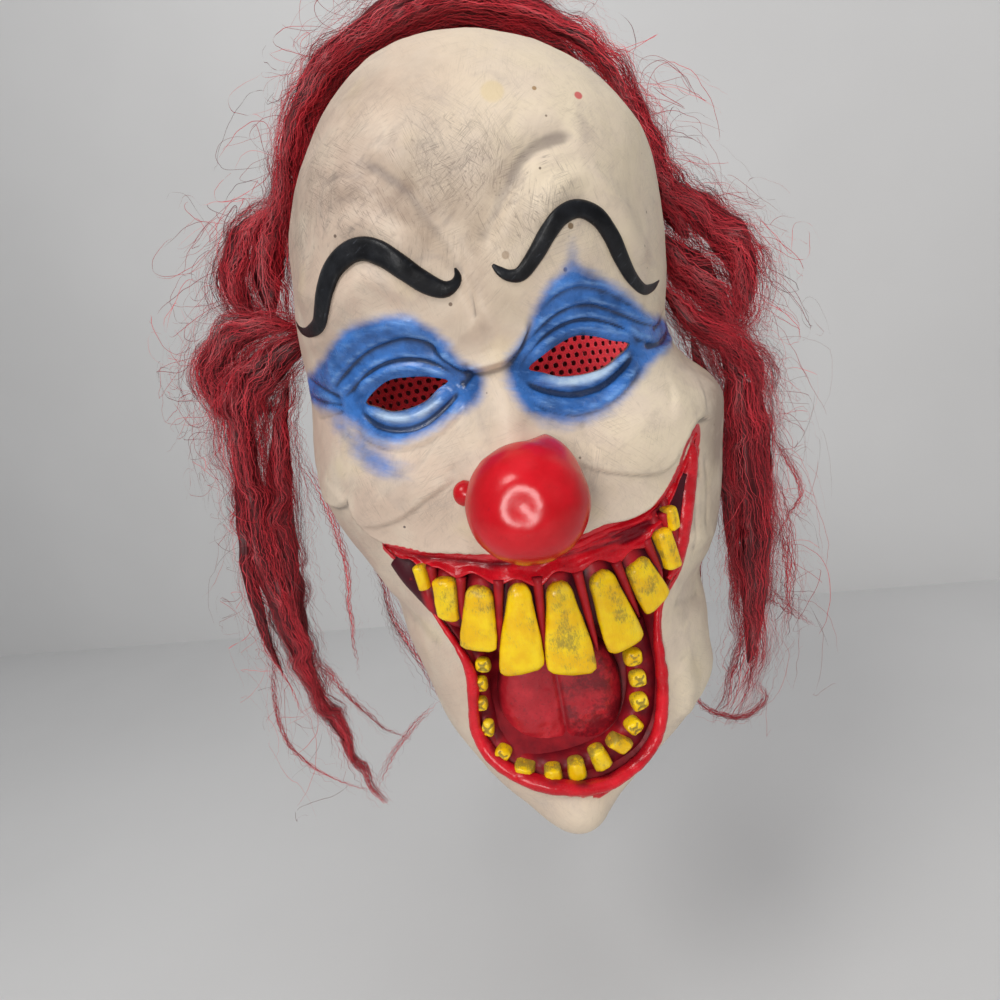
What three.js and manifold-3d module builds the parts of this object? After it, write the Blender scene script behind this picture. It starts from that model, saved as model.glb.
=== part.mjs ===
import * as THREE from "three";
import { mergeVertices } from "three/addons/utils/BufferGeometryUtils.js";
import Module from "manifold-3d";

// A pull-on clown mask: a cast latex face with a wide open grin, and a mesh cap behind it that carries
// long hair.
// Millimetres, +Z up, the face looks along -Y. The origin is where the inside of the cap sits on the crown.

// Main sizes
const maskHeight = 360; // crown to the point of the chin
const maskWidth = 184; // across the temples
const maskDepth = 98; // ear line forward to the brow
const capDepth = 92; // ear line back to the rear of the cap
const earAhead = 10; // how far the ear line lies ahead of the crown's seat
const latex = 2.4; // wall of the cast latex
const fabric = 1.2; // wall of the mesh cap
const gap = 0.3; // left between pieces that touch
const reliefRise = 10; // height of a full bump on the face

// Features
const noseSize = 48; // diameter of the ball nose
const noseAhead = 24; // ball's centre in front of the face
const browHeight = 4.2; // how far a brow stands off the face
const lipHeight = 4.6; // how far the lips stand off the face
const mouthDepth = 22; // floor of the mouth behind the face
const gumDepth = 7; // half thickness of the gums
const toothDepth = 4.6; // half thickness of an upper tooth
const tongueHeight = 8; // thickness of the tongue
const eyeLook = 60; // depth over which the eye holes are cut
const hairThick = 19; // radius of a full lock
const hairDrop = 398; // crown to the lowest hair
const hairSpread = 150; // middle to the outermost hair
const hairBack = 100; // ear line to the rear of the back hair

const halfWidth = maskWidth / 2;
const wasm = await Module();
wasm.setup();

// Sections of the face from the crown's rear edge to under the chin.
// turn: tilt of the section's plane in degrees. drop: its centre below the crown, a share of maskHeight.
// ahead: its centre in front of the ear line, and reach: how far it bulges forward, shares of maskDepth.
// left, right: half widths, shares of halfWidth. round: 2 is an ellipse, more is squarer.
// wrap: degrees covered to each side. rows: mesh rows down to the next section.
const faceSections = [
  { name: "crown", turn: 90, drop: 0.206, ahead: 0, reach: 0.8, left: 0.76, right: 0.97, round: 2.0,
      wrap: 86, rows: 2 },
  { name: "top", turn: 62, drop: 0.206, ahead: 0, reach: 0.855, left: 0.8, right: 0.99, round: 2.05,
      wrap: 86, rows: 2 },
  { name: "hairline", turn: 38, drop: 0.206, ahead: 0, reach: 0.93, left: 0.87, right: 1.01, round: 2.1,
      wrap: 86, rows: 2 },
  { name: "forehead", turn: 16, drop: 0.206, ahead: 0, reach: 0.99, left: 0.94, right: 1.03, round: 2.2,
      wrap: 86, rows: 2 },
  { name: "temple", turn: 0, drop: 0.217, ahead: 0, reach: 1.01, left: 0.98, right: 1.03, round: 2.25,
      wrap: 87, rows: 3 },
  { name: "brow", turn: 0, drop: 0.311, ahead: 0, reach: 1.0, left: 1.0, right: 1.02, round: 2.3, wrap: 88,
      rows: 4 },
  { name: "eyes", turn: 0, drop: 0.406, ahead: 0, reach: 0.94, left: 1.01, right: 1.01, round: 2.3,
      wrap: 90, rows: 3 },
  { name: "cheekbone", turn: 0, drop: 0.494, ahead: 0, reach: 0.95, left: 1.05, right: 1.22, round: 2.3,
      wrap: 90, rows: 3 },
  { name: "cheek", turn: 0, drop: 0.569, ahead: 0.02, reach: 0.94, left: 1.0, right: 1.22, round: 2.3,
      wrap: 90, rows: 2 },
  { name: "upper_jaw", turn: 0, drop: 0.653, ahead: 0.08, reach: 0.9, left: 0.85, right: 1.15, round: 2.3,
      wrap: 90, rows: 2 },
  { name: "mid_jaw", turn: 0, drop: 0.728, ahead: 0.16, reach: 0.82, left: 0.76, right: 1.02, round: 2.3,
      wrap: 90, rows: 2 },
  { name: "jaw", turn: 0, drop: 0.811, ahead: 0.27, reach: 0.73, left: 0.66, right: 0.97, round: 2.3,
      wrap: 90, rows: 2 },
  { name: "lower_jaw", turn: 0, drop: 0.878, ahead: 0.37, reach: 0.66, left: 0.58, right: 0.92, round: 2.2,
      wrap: 90, rows: 2 },
  { name: "chin_top", turn: -14, drop: 0.916, ahead: 0.47, reach: 0.58, left: 0.44, right: 0.62,
      round: 2.1, wrap: 88, rows: 2 },
  { name: "chin", turn: -38, drop: 0.922, ahead: 0.52, reach: 0.53, left: 0.3, right: 0.4, round: 1.9,
      wrap: 86, rows: 1 },
  { name: "chin_under", turn: -72, drop: 0.922, ahead: 0.54, reach: 0.33, left: 0.18, right: 0.22,
      round: 1.8, wrap: 84, rows: 0 },
];

// Sections of the cap, from inside the face's top edge over the back of the head to the nape.
// The columns are the face's, with reach a share of capDepth.
const capSections = [
  { name: "front_edge", turn: 78, drop: 0.206, ahead: 0, reach: 0.875, left: 0.775, right: 0.975,
      round: 2.0, wrap: 86, rows: 1 },
  { name: "crown", turn: 92, drop: 0.206, ahead: 0, reach: 0.857, left: 0.765, right: 0.965, round: 2.0,
      wrap: 86, rows: 2 },
  { name: "back_crown", turn: 126, drop: 0.206, ahead: 0, reach: 0.9, left: 0.84, right: 0.95, round: 2.05,
      wrap: 86, rows: 2 },
  { name: "back", turn: 158, drop: 0.206, ahead: 0, reach: 0.97, left: 0.92, right: 0.98, round: 2.15,
      wrap: 86, rows: 2 },
  { name: "ears", turn: 180, drop: 0.217, ahead: 0, reach: 1.0, left: 0.98, right: 1.02, round: 2.2,
      wrap: 94, rows: 2 },
  { name: "behind_eyes", turn: 180, drop: 0.32, ahead: 0, reach: 0.98, left: 1.0, right: 1.01, round: 2.25,
      wrap: 98, rows: 2 },
  { name: "low_back", turn: 180, drop: 0.42, ahead: 0, reach: 0.9, left: 0.99, right: 0.98, round: 2.25,
      wrap: 98, rows: 2 },
  { name: "nape", turn: 180, drop: 0.51, ahead: 0, reach: 0.8, left: 0.94, right: 0.98, round: 2.2,
      wrap: 96, rows: 0 },
];

// Bumps and hollows of the face: across and down give the middle, wide and tall the spread, lean its tilt
// in degrees, and rise its height. across and wide are shares of halfWidth, down and tall of maskHeight.
const faceBumps = [
  { name: "left_forehead", across: -0.46, down: 0.17, wide: 0.3, tall: 0.07, lean: 0, rise: 0.3 },
  { name: "right_forehead", across: 0.5, down: 0.17, wide: 0.3, tall: 0.07, lean: 0, rise: 0.4 },
  { name: "forehead_valley", across: 0.02, down: 0.21, wide: 0.13, tall: 0.07, lean: 0, rise: -0.3 },
  { name: "between_brows", across: 0.0, down: 0.33, wide: 0.13, tall: 0.045, lean: 0, rise: 0.6 },
  { name: "left_brow_ridge", across: -0.48, down: 0.28, wide: 0.34, tall: 0.035, lean: 12, rise: 0.65 },
  { name: "right_brow_ridge", across: 0.46, down: 0.265, wide: 0.32, tall: 0.045, lean: -8, rise: 0.65 },
  { name: "left_socket", across: -0.4, down: 0.395, wide: 0.3, tall: 0.045, lean: 0, rise: -0.85 },
  { name: "right_socket", across: 0.4, down: 0.385, wide: 0.32, tall: 0.05, lean: 0, rise: -0.85 },
  { name: "left_lids", across: -0.4, down: 0.403, wide: 0.24, tall: 0.03, lean: 4, rise: 0.55 },
  { name: "right_lids", across: 0.4, down: 0.398, wide: 0.28, tall: 0.033, lean: -2, rise: 0.55 },
  { name: "nose_bridge", across: 0.02, down: 0.44, wide: 0.13, tall: 0.06, lean: 0, rise: 1.1 },
  { name: "nose_root", across: 0.03, down: 0.53, wide: 0.24, tall: 0.05, lean: 0, rise: 1.5 },
  { name: "left_cheek", across: -0.58, down: 0.505, wide: 0.3, tall: 0.06, lean: 20, rise: 0.8 },
  { name: "right_cheek", across: 0.66, down: 0.495, wide: 0.3, tall: 0.06, lean: -20, rise: 0.9 },
  { name: "right_cheekbone", across: 1.08, down: 0.485, wide: 0.12, tall: 0.03, lean: 0, rise: 0.5 },
  { name: "left_hollow", across: -0.72, down: 0.7, wide: 0.14, tall: 0.03, lean: 0, rise: -0.35 },
  { name: "right_hollow", across: 0.88, down: 0.735, wide: 0.14, tall: 0.03, lean: 0, rise: -0.5 },
  { name: "chin_keel", across: 0.05, down: 0.985, wide: 0.14, tall: 0.035, lean: 0, rise: 0.7 },
];

// The almond of each eye hole: corners, and how far the lids bow up and down, shares of maskHeight.
const eyes = [
  { inner: [-0.2, 0.397], outer: [-0.61, 0.408], upper: 0.019, lower: 0.018 },
  { inner: [0.15, 0.4], outer: [0.65, 0.397], upper: 0.023, lower: 0.02 },
];
const eyePoints = 6; // points along each lid

// The edge of the open mouth, clockwise from its left corner: across, down.
const mouthEdge = [
  [-0.66, 0.58], [-0.33, 0.603], [0.0, 0.615], [0.37, 0.603], [0.65, 0.59], [0.82, 0.55],
  [0.9, 0.52], [0.87, 0.572], [0.76, 0.675], [0.6, 0.73], [0.56, 0.833], [0.46, 0.905],
  [0.24, 0.938], [-0.05, 0.925], [-0.3, 0.892], [-0.4, 0.839], [-0.37, 0.75], [-0.51, 0.664], [-0.61, 0.611],
];
const mouthMiddle = [0.09, 0.7]; // all of the mouth's edge is in sight of it
const mouthPoints = 44; // points round the cut edge
const upperLipSpan = [0, 7.2]; // stretch of the mouth's edge that each lip follows
const lowerLipSpan = [8.8, 16.4];

// Centre lines of the raised brows, from the outer to the inner end: across, down, half width.
const brows = [
  {
    name: "brow_left",
    path: [
      [-0.89, 0.303, 0.006], [-0.78, 0.314, 0.03], [-0.66, 0.3, 0.045], [-0.6, 0.264, 0.055], [-0.46,
          0.244, 0.06],
      [-0.32, 0.262, 0.058], [-0.2, 0.292, 0.052], [-0.1, 0.3, 0.04], [-0.07, 0.283, 0.014],
    ],
  },
  {
    name: "brow_right",
    path: [
      [0.86, 0.333, 0.008], [0.73, 0.336, 0.03], [0.62, 0.305, 0.04], [0.55, 0.262, 0.045], [0.46, 0.244,
          0.05],
      [0.37, 0.252, 0.05], [0.28, 0.28, 0.045], [0.18, 0.3, 0.035], [0.08, 0.286, 0.014],
    ],
  },
];

// Gum ridges: across, down, half height of the ridge as a share of maskHeight.
const upperGum = [
  [-0.56, 0.615, 0.016], [-0.38, 0.645, 0.028], [-0.18, 0.668, 0.036], [0.05, 0.682, 0.038], [0.28, 0.68,
      0.038],
  [0.46, 0.665, 0.034], [0.62, 0.632, 0.028], [0.7, 0.595, 0.018],
];
const lowerGum = [
  [-0.3, 0.73, 0.016], [-0.345, 0.79, 0.018], [-0.33, 0.86, 0.018], [-0.2, 0.905, 0.019], [0.02, 0.917,
      0.021],
  [0.24, 0.91, 0.021], [0.4, 0.87, 0.019], [0.445, 0.8, 0.018], [0.44, 0.745, 0.016],
];

// Upper teeth: middle across and down, width at the gum and at the bite, length, lean in degrees.
// Widths are shares of halfWidth, the length a share of maskHeight.
const upperTeeth = [
  { across: -0.515, down: 0.621, gumWide: 0.078, biteWide: 0.055, long: 0.034, lean: 0 },
  { across: -0.41, down: 0.652, gumWide: 0.117, biteWide: 0.094, long: 0.055, lean: 4 },
  { across: -0.275, down: 0.676, gumWide: 0.13, biteWide: 0.16, long: 0.078, lean: 13 },
  { across: -0.09, down: 0.697, gumWide: 0.13, biteWide: 0.204, long: 0.108, lean: 9 },
  { across: 0.125, down: 0.706, gumWide: 0.143, biteWide: 0.231, long: 0.106, lean: 1 },
  { across: 0.36, down: 0.697, gumWide: 0.13, biteWide: 0.176, long: 0.096, lean: -10 },
  { across: 0.55, down: 0.676, gumWide: 0.117, biteWide: 0.154, long: 0.066, lean: -20 },
  { across: 0.685, down: 0.643, gumWide: 0.091, biteWide: 0.083, long: 0.052, lean: -14 },
  { across: 0.725, down: 0.603, gumWide: 0.065, biteWide: 0.066, long: 0.026, lean: -8 },
];

// Lower teeth, left to right: middle across and down, width, length, lean in degrees.
const lowerTeeth = [
  { across: -0.3, down: 0.754, wide: 0.07, long: 0.018, lean: 0 },
  { across: -0.33, down: 0.784, wide: 0.065, long: 0.018, lean: 0 },
  { across: -0.345, down: 0.812, wide: 0.06, long: 0.017, lean: 0 },
  { across: -0.345, down: 0.844, wide: 0.055, long: 0.022, lean: 8 },
  { across: -0.3, down: 0.879, wide: 0.08, long: 0.021, lean: 35 },
  { across: -0.2, down: 0.904, wide: 0.1, long: 0.019, lean: 18 },
  { across: -0.065, down: 0.912, wide: 0.08, long: 0.026, lean: 4 },
  { across: 0.055, down: 0.911, wide: 0.08, long: 0.031, lean: 0 },
  { across: 0.185, down: 0.907, wide: 0.085, long: 0.034, lean: -12 },
  { across: 0.31, down: 0.893, wide: 0.075, long: 0.026, lean: -45 },
  { across: 0.39, down: 0.868, wide: 0.075, long: 0.02, lean: -30 },
  { across: 0.425, down: 0.84, wide: 0.07, long: 0.018, lean: -8 },
  { across: 0.445, down: 0.812, wide: 0.07, long: 0.019, lean: 0 },
  { across: 0.44, down: 0.783, wide: 0.075, long: 0.019, lean: 0 },
];

// The tongue: middle, half width and half height.
const tongue = { across: 0.045, down: 0.81, wide: 0.31, tall: 0.08 };

// Hair locks: where the root sits (across as a share of halfWidth, back as a share of capDepth behind the ear
// line, down), where the lock is widest, and its tip. out is a share of hairSpread, rear of hairBack, fall of
// hairDrop, and thick of hairThick.
const sideLocks = [
  { side: -1, root: [1.0, 0.0, 0.13], out: 0.79, rear: 0.02, fall: 0.28, tip: [0.9, 0.05, 0.72], thick: 1.0 },
  { side: -1, root: [1.02, 0.08, 0.2], out: 0.88, rear: 0.12, fall: 0.46, tip: [0.76, 0.1, 0.99],
      thick: 1.15 },
  { side: -1, root: [1.02, 0.22, 0.26], out: 0.9, rear: 0.3, fall: 0.62, tip: [0.98, 0.3, 0.9], thick: 1.1 },
  { side: -1, root: [1.02, 0.12, 0.36], out: 0.88, rear: 0.16, fall: 0.62, tip: [1.0, 0.14, 0.86],
      thick: 0.8 },
  { side: 1, root: [1.02, 0.0, 0.13], out: 0.82, rear: 0.02, fall: 0.27, tip: [0.93, 0.05, 0.68],
      thick: 1.0 },
  { side: 1, root: [1.04, 0.08, 0.2], out: 0.92, rear: 0.12, fall: 0.46, tip: [0.76, 0.1, 0.97],
      thick: 1.15 },
  { side: 1, root: [1.04, 0.22, 0.26], out: 0.95, rear: 0.3, fall: 0.6, tip: [0.93, 0.3, 0.88], thick: 1.1 },
  { side: 1, root: [1.04, 0.12, 0.36], out: 0.9, rear: 0.16, fall: 0.58, tip: [0.86, 0.14, 0.88],
      thick: 0.8 },
];
// Back locks hang from a band round the cap: across as a share of halfWidth, and the tip's fall.
const backLocks = [
  { across: -0.86, fall: 0.84 }, { across: -0.52, fall: 0.9 }, { across: -0.18, fall: 0.86 },
  { across: 0.18, fall: 0.88 }, { across: 0.52, fall: 0.91 }, { across: 0.86, fall: 0.85 },
];
const lockSides = 6;

const degrees = Math.PI / 180;

// A smooth curve through rows of numbers, with t counted in rows. closed joins the last row to the first.
function through(rows, t, closed = false) {
  const n = rows.length;
  const last = closed ? n : n - 1;
  const clamped = closed ? ((t % n) + n) % n : Math.min(Math.max(t, 0), last);
  const i = Math.min(Math.floor(clamped), last - 1);
  const w = clamped - i;
  const pick = (k) => rows[closed ? (k + n) % n : Math.min(Math.max(k, 0), n - 1)];
  const [a, b, c, d] = [pick(i - 1), pick(i), pick(i + 1), pick(i + 2)];
  return b.map((_, k) => {
    const bend = 2 * a[k] - 5 * b[k] + 4 * c[k] - d[k];
    const twist = 3 * b[k] - a[k] - 3 * c[k] + d[k];
    return 0.5 * (2 * b[k] + (c[k] - a[k]) * w + bend * w * w + twist * w ** 3);
  });
}

const columns = ["turn", "drop", "ahead", "reach", "left", "right", "round", "wrap"];
const rowsOf = (table) => table.map((row) => columns.map((name) => row[name]));
const faceRows = rowsOf(faceSections);
const capRows = rowsOf(capSections);

// A point of the plain head form. side runs from -1 at the left edge to 1 at the right edge.
function headPoint(rows, depth, side, t) {
  const [turn, drop, ahead, reach, left, right, round, wrap] = through(rows, t);
  const angle = side * wrap * degrees;
  const half = halfWidth * (0.5 * (left + right) + 0.5 * (right - left) * Math.tanh(4 * side));
  const power = 2 / round;
  const x = half * Math.sign(Math.sin(angle)) * Math.abs(Math.sin(angle)) ** power;
  // Past a quarter turn the section runs on round the other half of the head.
  const forward = Math.cos(angle) < 0 ? -maskDepth : depth;
  const r = forward * reach * Math.abs(Math.cos(angle)) ** power;
  const y = -earAhead - ahead * maskDepth - r * Math.cos(turn * degrees);
  return new THREE.Vector3(x, y, -drop * maskHeight + r * Math.sin(turn * degrees));
}

// The outward direction of the head form at a point.
function headNormal(rows, depth, side, t) {
  const step = 0.01;
  const right = headPoint(rows, depth, side + step, t).sub(headPoint(rows, depth, side - step, t));
  const down = headPoint(rows, depth, side, t + step).sub(headPoint(rows, depth, side, t - step));
  return down.cross(right).normalize();
}

// How far the face rises at a place, from the table of bumps.
function reliefAt(x, z) {
  let rise = 0;
  for (const bump of faceBumps) {
    const dx = x - bump.across * halfWidth;
    const dz = z + bump.down * maskHeight;
    const lean = bump.lean * degrees;
    const along = (dx * Math.cos(lean) + dz * Math.sin(lean)) / (bump.wide * halfWidth);
    const over = (dz * Math.cos(lean) - dx * Math.sin(lean)) / (bump.tall * maskHeight);
    rise += bump.rise * Math.exp(-along * along - over * over);
  }
  return rise * reliefRise;
}

function facePoint(side, t, lift) {
  const p = headPoint(faceRows, maskDepth, side, t);
  const rise = reliefAt(p.x, p.z) + lift;
  return p.addScaledVector(headNormal(faceRows, maskDepth, side, t), rise);
}

const capLift = -(latex + 3 * gap); // the cap lies inside the face's edge
const capPoint = (side, t, lift) => {
  const p = headPoint(capRows, capDepth, side, t);
  // The cap's rows run backwards over the head, so its outward direction is turned round.
  return p.addScaledVector(headNormal(capRows, capDepth, side, t), -capLift - lift);
};

// The place on the face that is seen at x, z from straight ahead, found by Newton steps from a coarse net.
const net = [];
const underside = faceRows.length - 2.2; // the rows past this one face down
for (let t = 0; t <= underside; t += 0.2) {
  for (let side = -0.96; side <= 0.97; side += 0.08) {
    const p = facePoint(side, t, 0);
    net.push([side, t, p.x, p.z]);
  }
}
function seenAt(x, z, lift = 0) {
  let [side, t] = net.reduce((best, n) => {
    return Math.hypot(n[2] - x, n[3] - z) < Math.hypot(best[2] - x, best[3] - z) ? n : best;
  });
  const step = 0.002;
  const steps = 8;
  for (let k = 0; k < steps; k++) {
    const p = facePoint(side, t, 0);
    const ps = facePoint(side + step, t, 0);
    const pt = facePoint(side, t + step, 0);
    const [a, b, c, d] = [ps.x - p.x, pt.x - p.x, ps.z - p.z, pt.z - p.z].map((v) => v / step);
    const det = a * d - b * c;
    const [ex, ez] = [x - p.x, z - p.z];
    side = THREE.MathUtils.clamp(side + (d * ex - b * ez) / det, -1, 1);
    t = THREE.MathUtils.clamp(t + (a * ez - c * ex) / det, 0, faceRows.length - 1);
  }
  return facePoint(side, t, lift);
}
const seenShare = (across, down, lift) => seenAt(across * halfWidth, -down * maskHeight, lift);

// Solids. A solid is made from points and triangles, turned to face out.
function solidFrom(points, faces) {
  const geometry = new THREE.BufferGeometry();
  geometry.setAttribute("position", new THREE.Float32BufferAttribute(points.flatMap((p) => [p.x, p.y,
      p.z]), 3));
  geometry.setIndex(faces.flat());
  const merged = mergeVertices(geometry, 1e-4);
  const vertProperties = merged.attributes.position.array;
  const made = (index) => {
    return new wasm.Manifold(new wasm.Mesh({ numProp: 3, vertProperties, triVerts: new Uint32Array(index) }));
  };
  const kept = [...merged.index.array];
  const solid = made(kept);
  if (solid.volume() > 0) return solid;
  const turned = [];
  for (let i = 0; i < kept.length; i += 3) turned.push(kept[i], kept[i + 2], kept[i + 1]);
  return made(turned);
}

// The largest body of a trimmed solid. Edges that the trimming leaves shorter than a hair are closed up,
// and chips that it leaves lying apart are dropped.
const shortEdge = 0.03;
function bodyOf(solid) {
  const { vertProperties, triVerts } = solid.getMesh();
  const point = (i) => new THREE.Vector3().fromArray(vertProperties, 3 * i);
  const groups = () => {
    const parent = Array.from({ length: vertProperties.length / 3 }, (_, i) => i);
    const rootOf = (i) => {
      while (parent[i] !== i) i = parent[i] = parent[parent[i]];
      return i;
    };
    return { rootOf, join: (a, b) => { parent[rootOf(a)] = rootOf(b); } };
  };
  const corners = [];
  for (let i = 0; i < triVerts.length; i += 3) corners.push([triVerts[i], triVerts[i + 1], triVerts[i + 2]]);
  const close = groups();
  for (const [a, b, c] of corners) {
    for (const [p, q] of [[a, b], [b, c], [c, a]]) {
      if (point(p).distanceTo(point(q)) < shortEdge) close.join(p, q);
    }
  }
  const faces = corners
    .map((face) => face.map(close.rootOf))
    .filter(([a, b, c]) => a !== b && b !== c && c !== a);
  const linked = groups();
  for (const [a, b, c] of faces) {
    linked.join(a, b);
    linked.join(b, c);
  }
  const bodies = new Map();
  for (const face of faces) {
    const root = linked.rootOf(face[0]);
    if (!bodies.has(root)) bodies.set(root, { volume: 0, faces: [] });
    const body = bodies.get(root);
    body.faces.push(...face);
    body.volume += point(face[0]).dot(point(face[1]).cross(point(face[2]))) / 6;
  }
  const largest = [...bodies.values()].reduce((a, b) => (b.volume > a.volume ? b : a));
  const index = new Map([...new Set(largest.faces)].map((vertex, i) => [vertex, i]));
  const kept = new Float32Array([...index.keys()].flatMap((i) => point(i).toArray()));
  const triangles = new Uint32Array(largest.faces.map((vertex) => index.get(vertex)));
  return new wasm.Manifold(new wasm.Mesh({ numProp: 3, vertProperties: kept, triVerts: triangles }));
}

// A closed solid between two nets of points with the same rows and columns.
function slabSolid(front, back) {
  const rows = front.length;
  const cols = front[0].length;
  const points = [...front.flat(), ...back.flat()];
  const at = (layer, i, j) => layer * rows * cols + i * cols + j;
  const faces = [];
  const quad = (a, b, c, d) => faces.push([a, b, c], [a, c, d]);
  for (let i = 0; i < rows - 1; i++) {
    for (let j = 0; j < cols - 1; j++) {
      quad(at(0, i, j), at(0, i, j + 1), at(0, i + 1, j + 1), at(0, i + 1, j));
      quad(at(1, i, j), at(1, i + 1, j), at(1, i + 1, j + 1), at(1, i, j + 1));
    }
  }
  for (let i = 0; i < rows - 1; i++) {
    quad(at(0, i, 0), at(0, i + 1, 0), at(1, i + 1, 0), at(1, i, 0));
    quad(at(0, i, cols - 1), at(1, i, cols - 1), at(1, i + 1, cols - 1), at(0, i + 1, cols - 1));
  }
  for (let j = 0; j < cols - 1; j++) {
    quad(at(0, 0, j), at(1, 0, j), at(1, 0, j + 1), at(0, 0, j + 1));
    quad(at(0, rows - 1, j), at(0, rows - 1, j + 1), at(1, rows - 1, j + 1), at(1, rows - 1, j));
  }
  return solidFrom(points, faces);
}

// A closed solid through rings of points, each end closed on its ring's middle.
function ringSolid(rings) {
  const n = rings[0].length;
  const points = rings.flat();
  const faces = [];
  for (let i = 0; i < rings.length - 1; i++) {
    for (let j = 0; j < n; j++) {
      const [a, b] = [i * n + j, i * n + ((j + 1) % n)];
      faces.push([a, b, b + n], [a, b + n, a + n]);
    }
  }
  const middle = (ring) => ring.reduce((sum, p) => sum.add(p), new THREE.Vector3()).divideScalar(n);
  const first = points.push(middle(rings[0])) - 1;
  const last = points.push(middle(rings.at(-1))) - 1;
  const start = (rings.length - 1) * n;
  for (let j = 0; j < n; j++) {
    faces.push([first, (j + 1) % n, j]);
    faces.push([last, start + j, start + ((j + 1) % n)]);
  }
  return solidFrom(points, faces);
}

// A prism along Y on an outline of [x, z] points.
function prismSolid(outline, yFront, yBack) {
  return ringSolid([yFront, yBack].map((y) => outline.map(([x, z]) => new THREE.Vector3(x, y, z))));
}

// A tube along a path of centres. deep is its half size towards depthWay, across the other one.
function tubeSolid(path, across, deep, points, depthWay = new THREE.Vector3(0, 1, 0)) {
  const rings = path.map((p, i) => {
    const ahead = path[Math.min(i + 1, path.length - 1)];
    const behind = path[Math.max(i - 1, 0)];
    const along = ahead.clone().sub(behind).normalize();
    const side = along.clone().cross(depthWay).normalize();
    const out = side.clone().cross(along).normalize();
    return Array.from({ length: points }, (_, k) => {
      const angle = (2 * Math.PI * k) / points;
      const q = p.clone().addScaledVector(side, across[i] * Math.cos(angle));
      return q.addScaledVector(out, deep[i] * Math.sin(angle));
    });
  });
  return ringSolid(rings);
}

// Columns of the face's net crowd towards its middle, and its rows follow the table.
const faceColumns = 11; // to each side
const crowding = 1.3;
const sides = Array.from({ length: 2 * faceColumns + 1 }, (_, j) => {
  const s = (j - faceColumns) / faceColumns;
  return Math.sign(s) * Math.abs(s) ** crowding;
});
const rowStations = (sections) => {
  const inner = sections.flatMap((s, i) => Array.from({ length: s.rows }, (_, k) => i + k / s.rows));
  return [...inner, sections.length - 1];
};
const faceStations = rowStations(faceSections);
const netOf = (stations, across, point, lift) => stations.map((t) => across.map((s) => point(s, t, lift)));

const cutFront = -2 * (earAhead + maskDepth); // planes well before and behind the front of the face
const cutBack = -earAhead;

function eyeOutline(eye, shrink) {
  const inner = new THREE.Vector2(eye.inner[0] * halfWidth, -eye.inner[1] * maskHeight);
  const outer = new THREE.Vector2(eye.outer[0] * halfWidth, -eye.outer[1] * maskHeight);
  const lid = (from, to, bow) => Array.from({ length: eyePoints }, (_, k) => {
    const s = k / eyePoints;
    const p = from.clone().lerp(to, s);
    return [p.x, p.y + (bow * maskHeight - Math.sign(bow) * shrink) * Math.sin(Math.PI * s)];
  });
  return [...lid(inner, outer, eye.upper), ...lid(outer, inner, -eye.lower)];
}

// A point of the mouth's edge, t counted along mouthEdge, pulled towards the mouth's middle by inset.
function mouthAt(t, inset = 0) {
  const [across, down] = through(mouthEdge, t, true);
  const p = new THREE.Vector2(across * halfWidth, -down * maskHeight);
  const middle = new THREE.Vector2(mouthMiddle[0] * halfWidth, -mouthMiddle[1] * maskHeight);
  return p.addScaledVector(middle.sub(p).normalize(), inset);
}
const mouthOutline = (inset) => Array.from({ length: mouthPoints }, (_, k) => {
  const p = mouthAt((k / mouthPoints) * mouthEdge.length, inset);
  return [p.x, p.y];
});

// The face, its wall grown by extra on both sides.
function faceSolid(extra) {
  const front = netOf(faceStations, sides, facePoint, extra);
  const back = netOf(faceStations, sides, facePoint, -latex - extra);
  let solid = slabSolid(front, back);
  for (const eye of eyes) {
    solid = solid.subtract(prismSolid(eyeOutline(eye, extra), cutFront, cutFront + 2 * eyeLook + maskDepth));
  }
  return solid.subtract(prismSolid(mouthOutline(extra), cutFront, cutBack));
}
const face = faceSolid(0);
const faceRoom = faceSolid(gap);

// What a piece that stands on the outside is trimmed by: the form's outside, filled in towards its middle.
const coreShare = 0.75;
function coreSolid(front) {
  const back = front.map((row) => row.map((p) => {
    return new THREE.Vector3(coreShare * p.x, coreShare * (p.y + earAhead) - earAhead, p.z);
  }));
  return slabSolid(front, back);
}
const faceCore = coreSolid(netOf(faceStations, sides, facePoint, gap));

// The cap of mesh.
const capColumns = 6;
const capSides = Array.from({ length: 2 * capColumns + 1 }, (_, j) => (j - capColumns) / capColumns);
const capStations = rowStations(capSections);
const capSolid = (extra) => slabSolid(
  netOf(capStations, capSides, capPoint, extra),
  netOf(capStations, capSides, capPoint, -fabric - extra),
);
const cap = capSolid(0);
const capCore = coreSolid(netOf(capStations, capSides, capPoint, gap));

// A raised brow: a strip along its centre line, sunk into the face and trimmed back to it.
function browSolid(path) {
  const stations = 2 * (path.length - 1);
  const centres = [];
  const wide = [];
  for (let k = 0; k <= stations; k++) {
    const [across, down, half] = through(path, (k / stations) * (path.length - 1));
    centres.push(seenShare(across, down, 0));
    wide.push(half * halfWidth);
  }
  const deep = wide.map((w) => Math.min(browHeight, w));
  return tubeSolid(centres, wide, deep, 6).subtract(faceCore);
}

// A lip: a rounded bead along a stretch of the mouth's edge, thinner towards its ends.
function lipSolid([from, to], thick, extra) {
  const stations = 17;
  const path = [];
  const across = [];
  for (let k = 0; k <= stations; k++) {
    const s = k / stations;
    const p = mouthAt(from + (to - from) * s, 0);
    path.push(seenAt(p.x, p.y, 0));
    across.push(thick * Math.min(1, 0.3 + 6 * Math.min(s, 1 - s)) + extra);
  }
  return tubeSolid(path, across, across.map((v) => Math.min(v, lipHeight + extra)), 6);
}
const upperLipThick = 4;
const lowerLipThick = 4.2;
const lipRoom = lipSolid(upperLipSpan, upperLipThick, gap).add(lipSolid(lowerLipSpan, lowerLipThick, gap));

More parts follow.
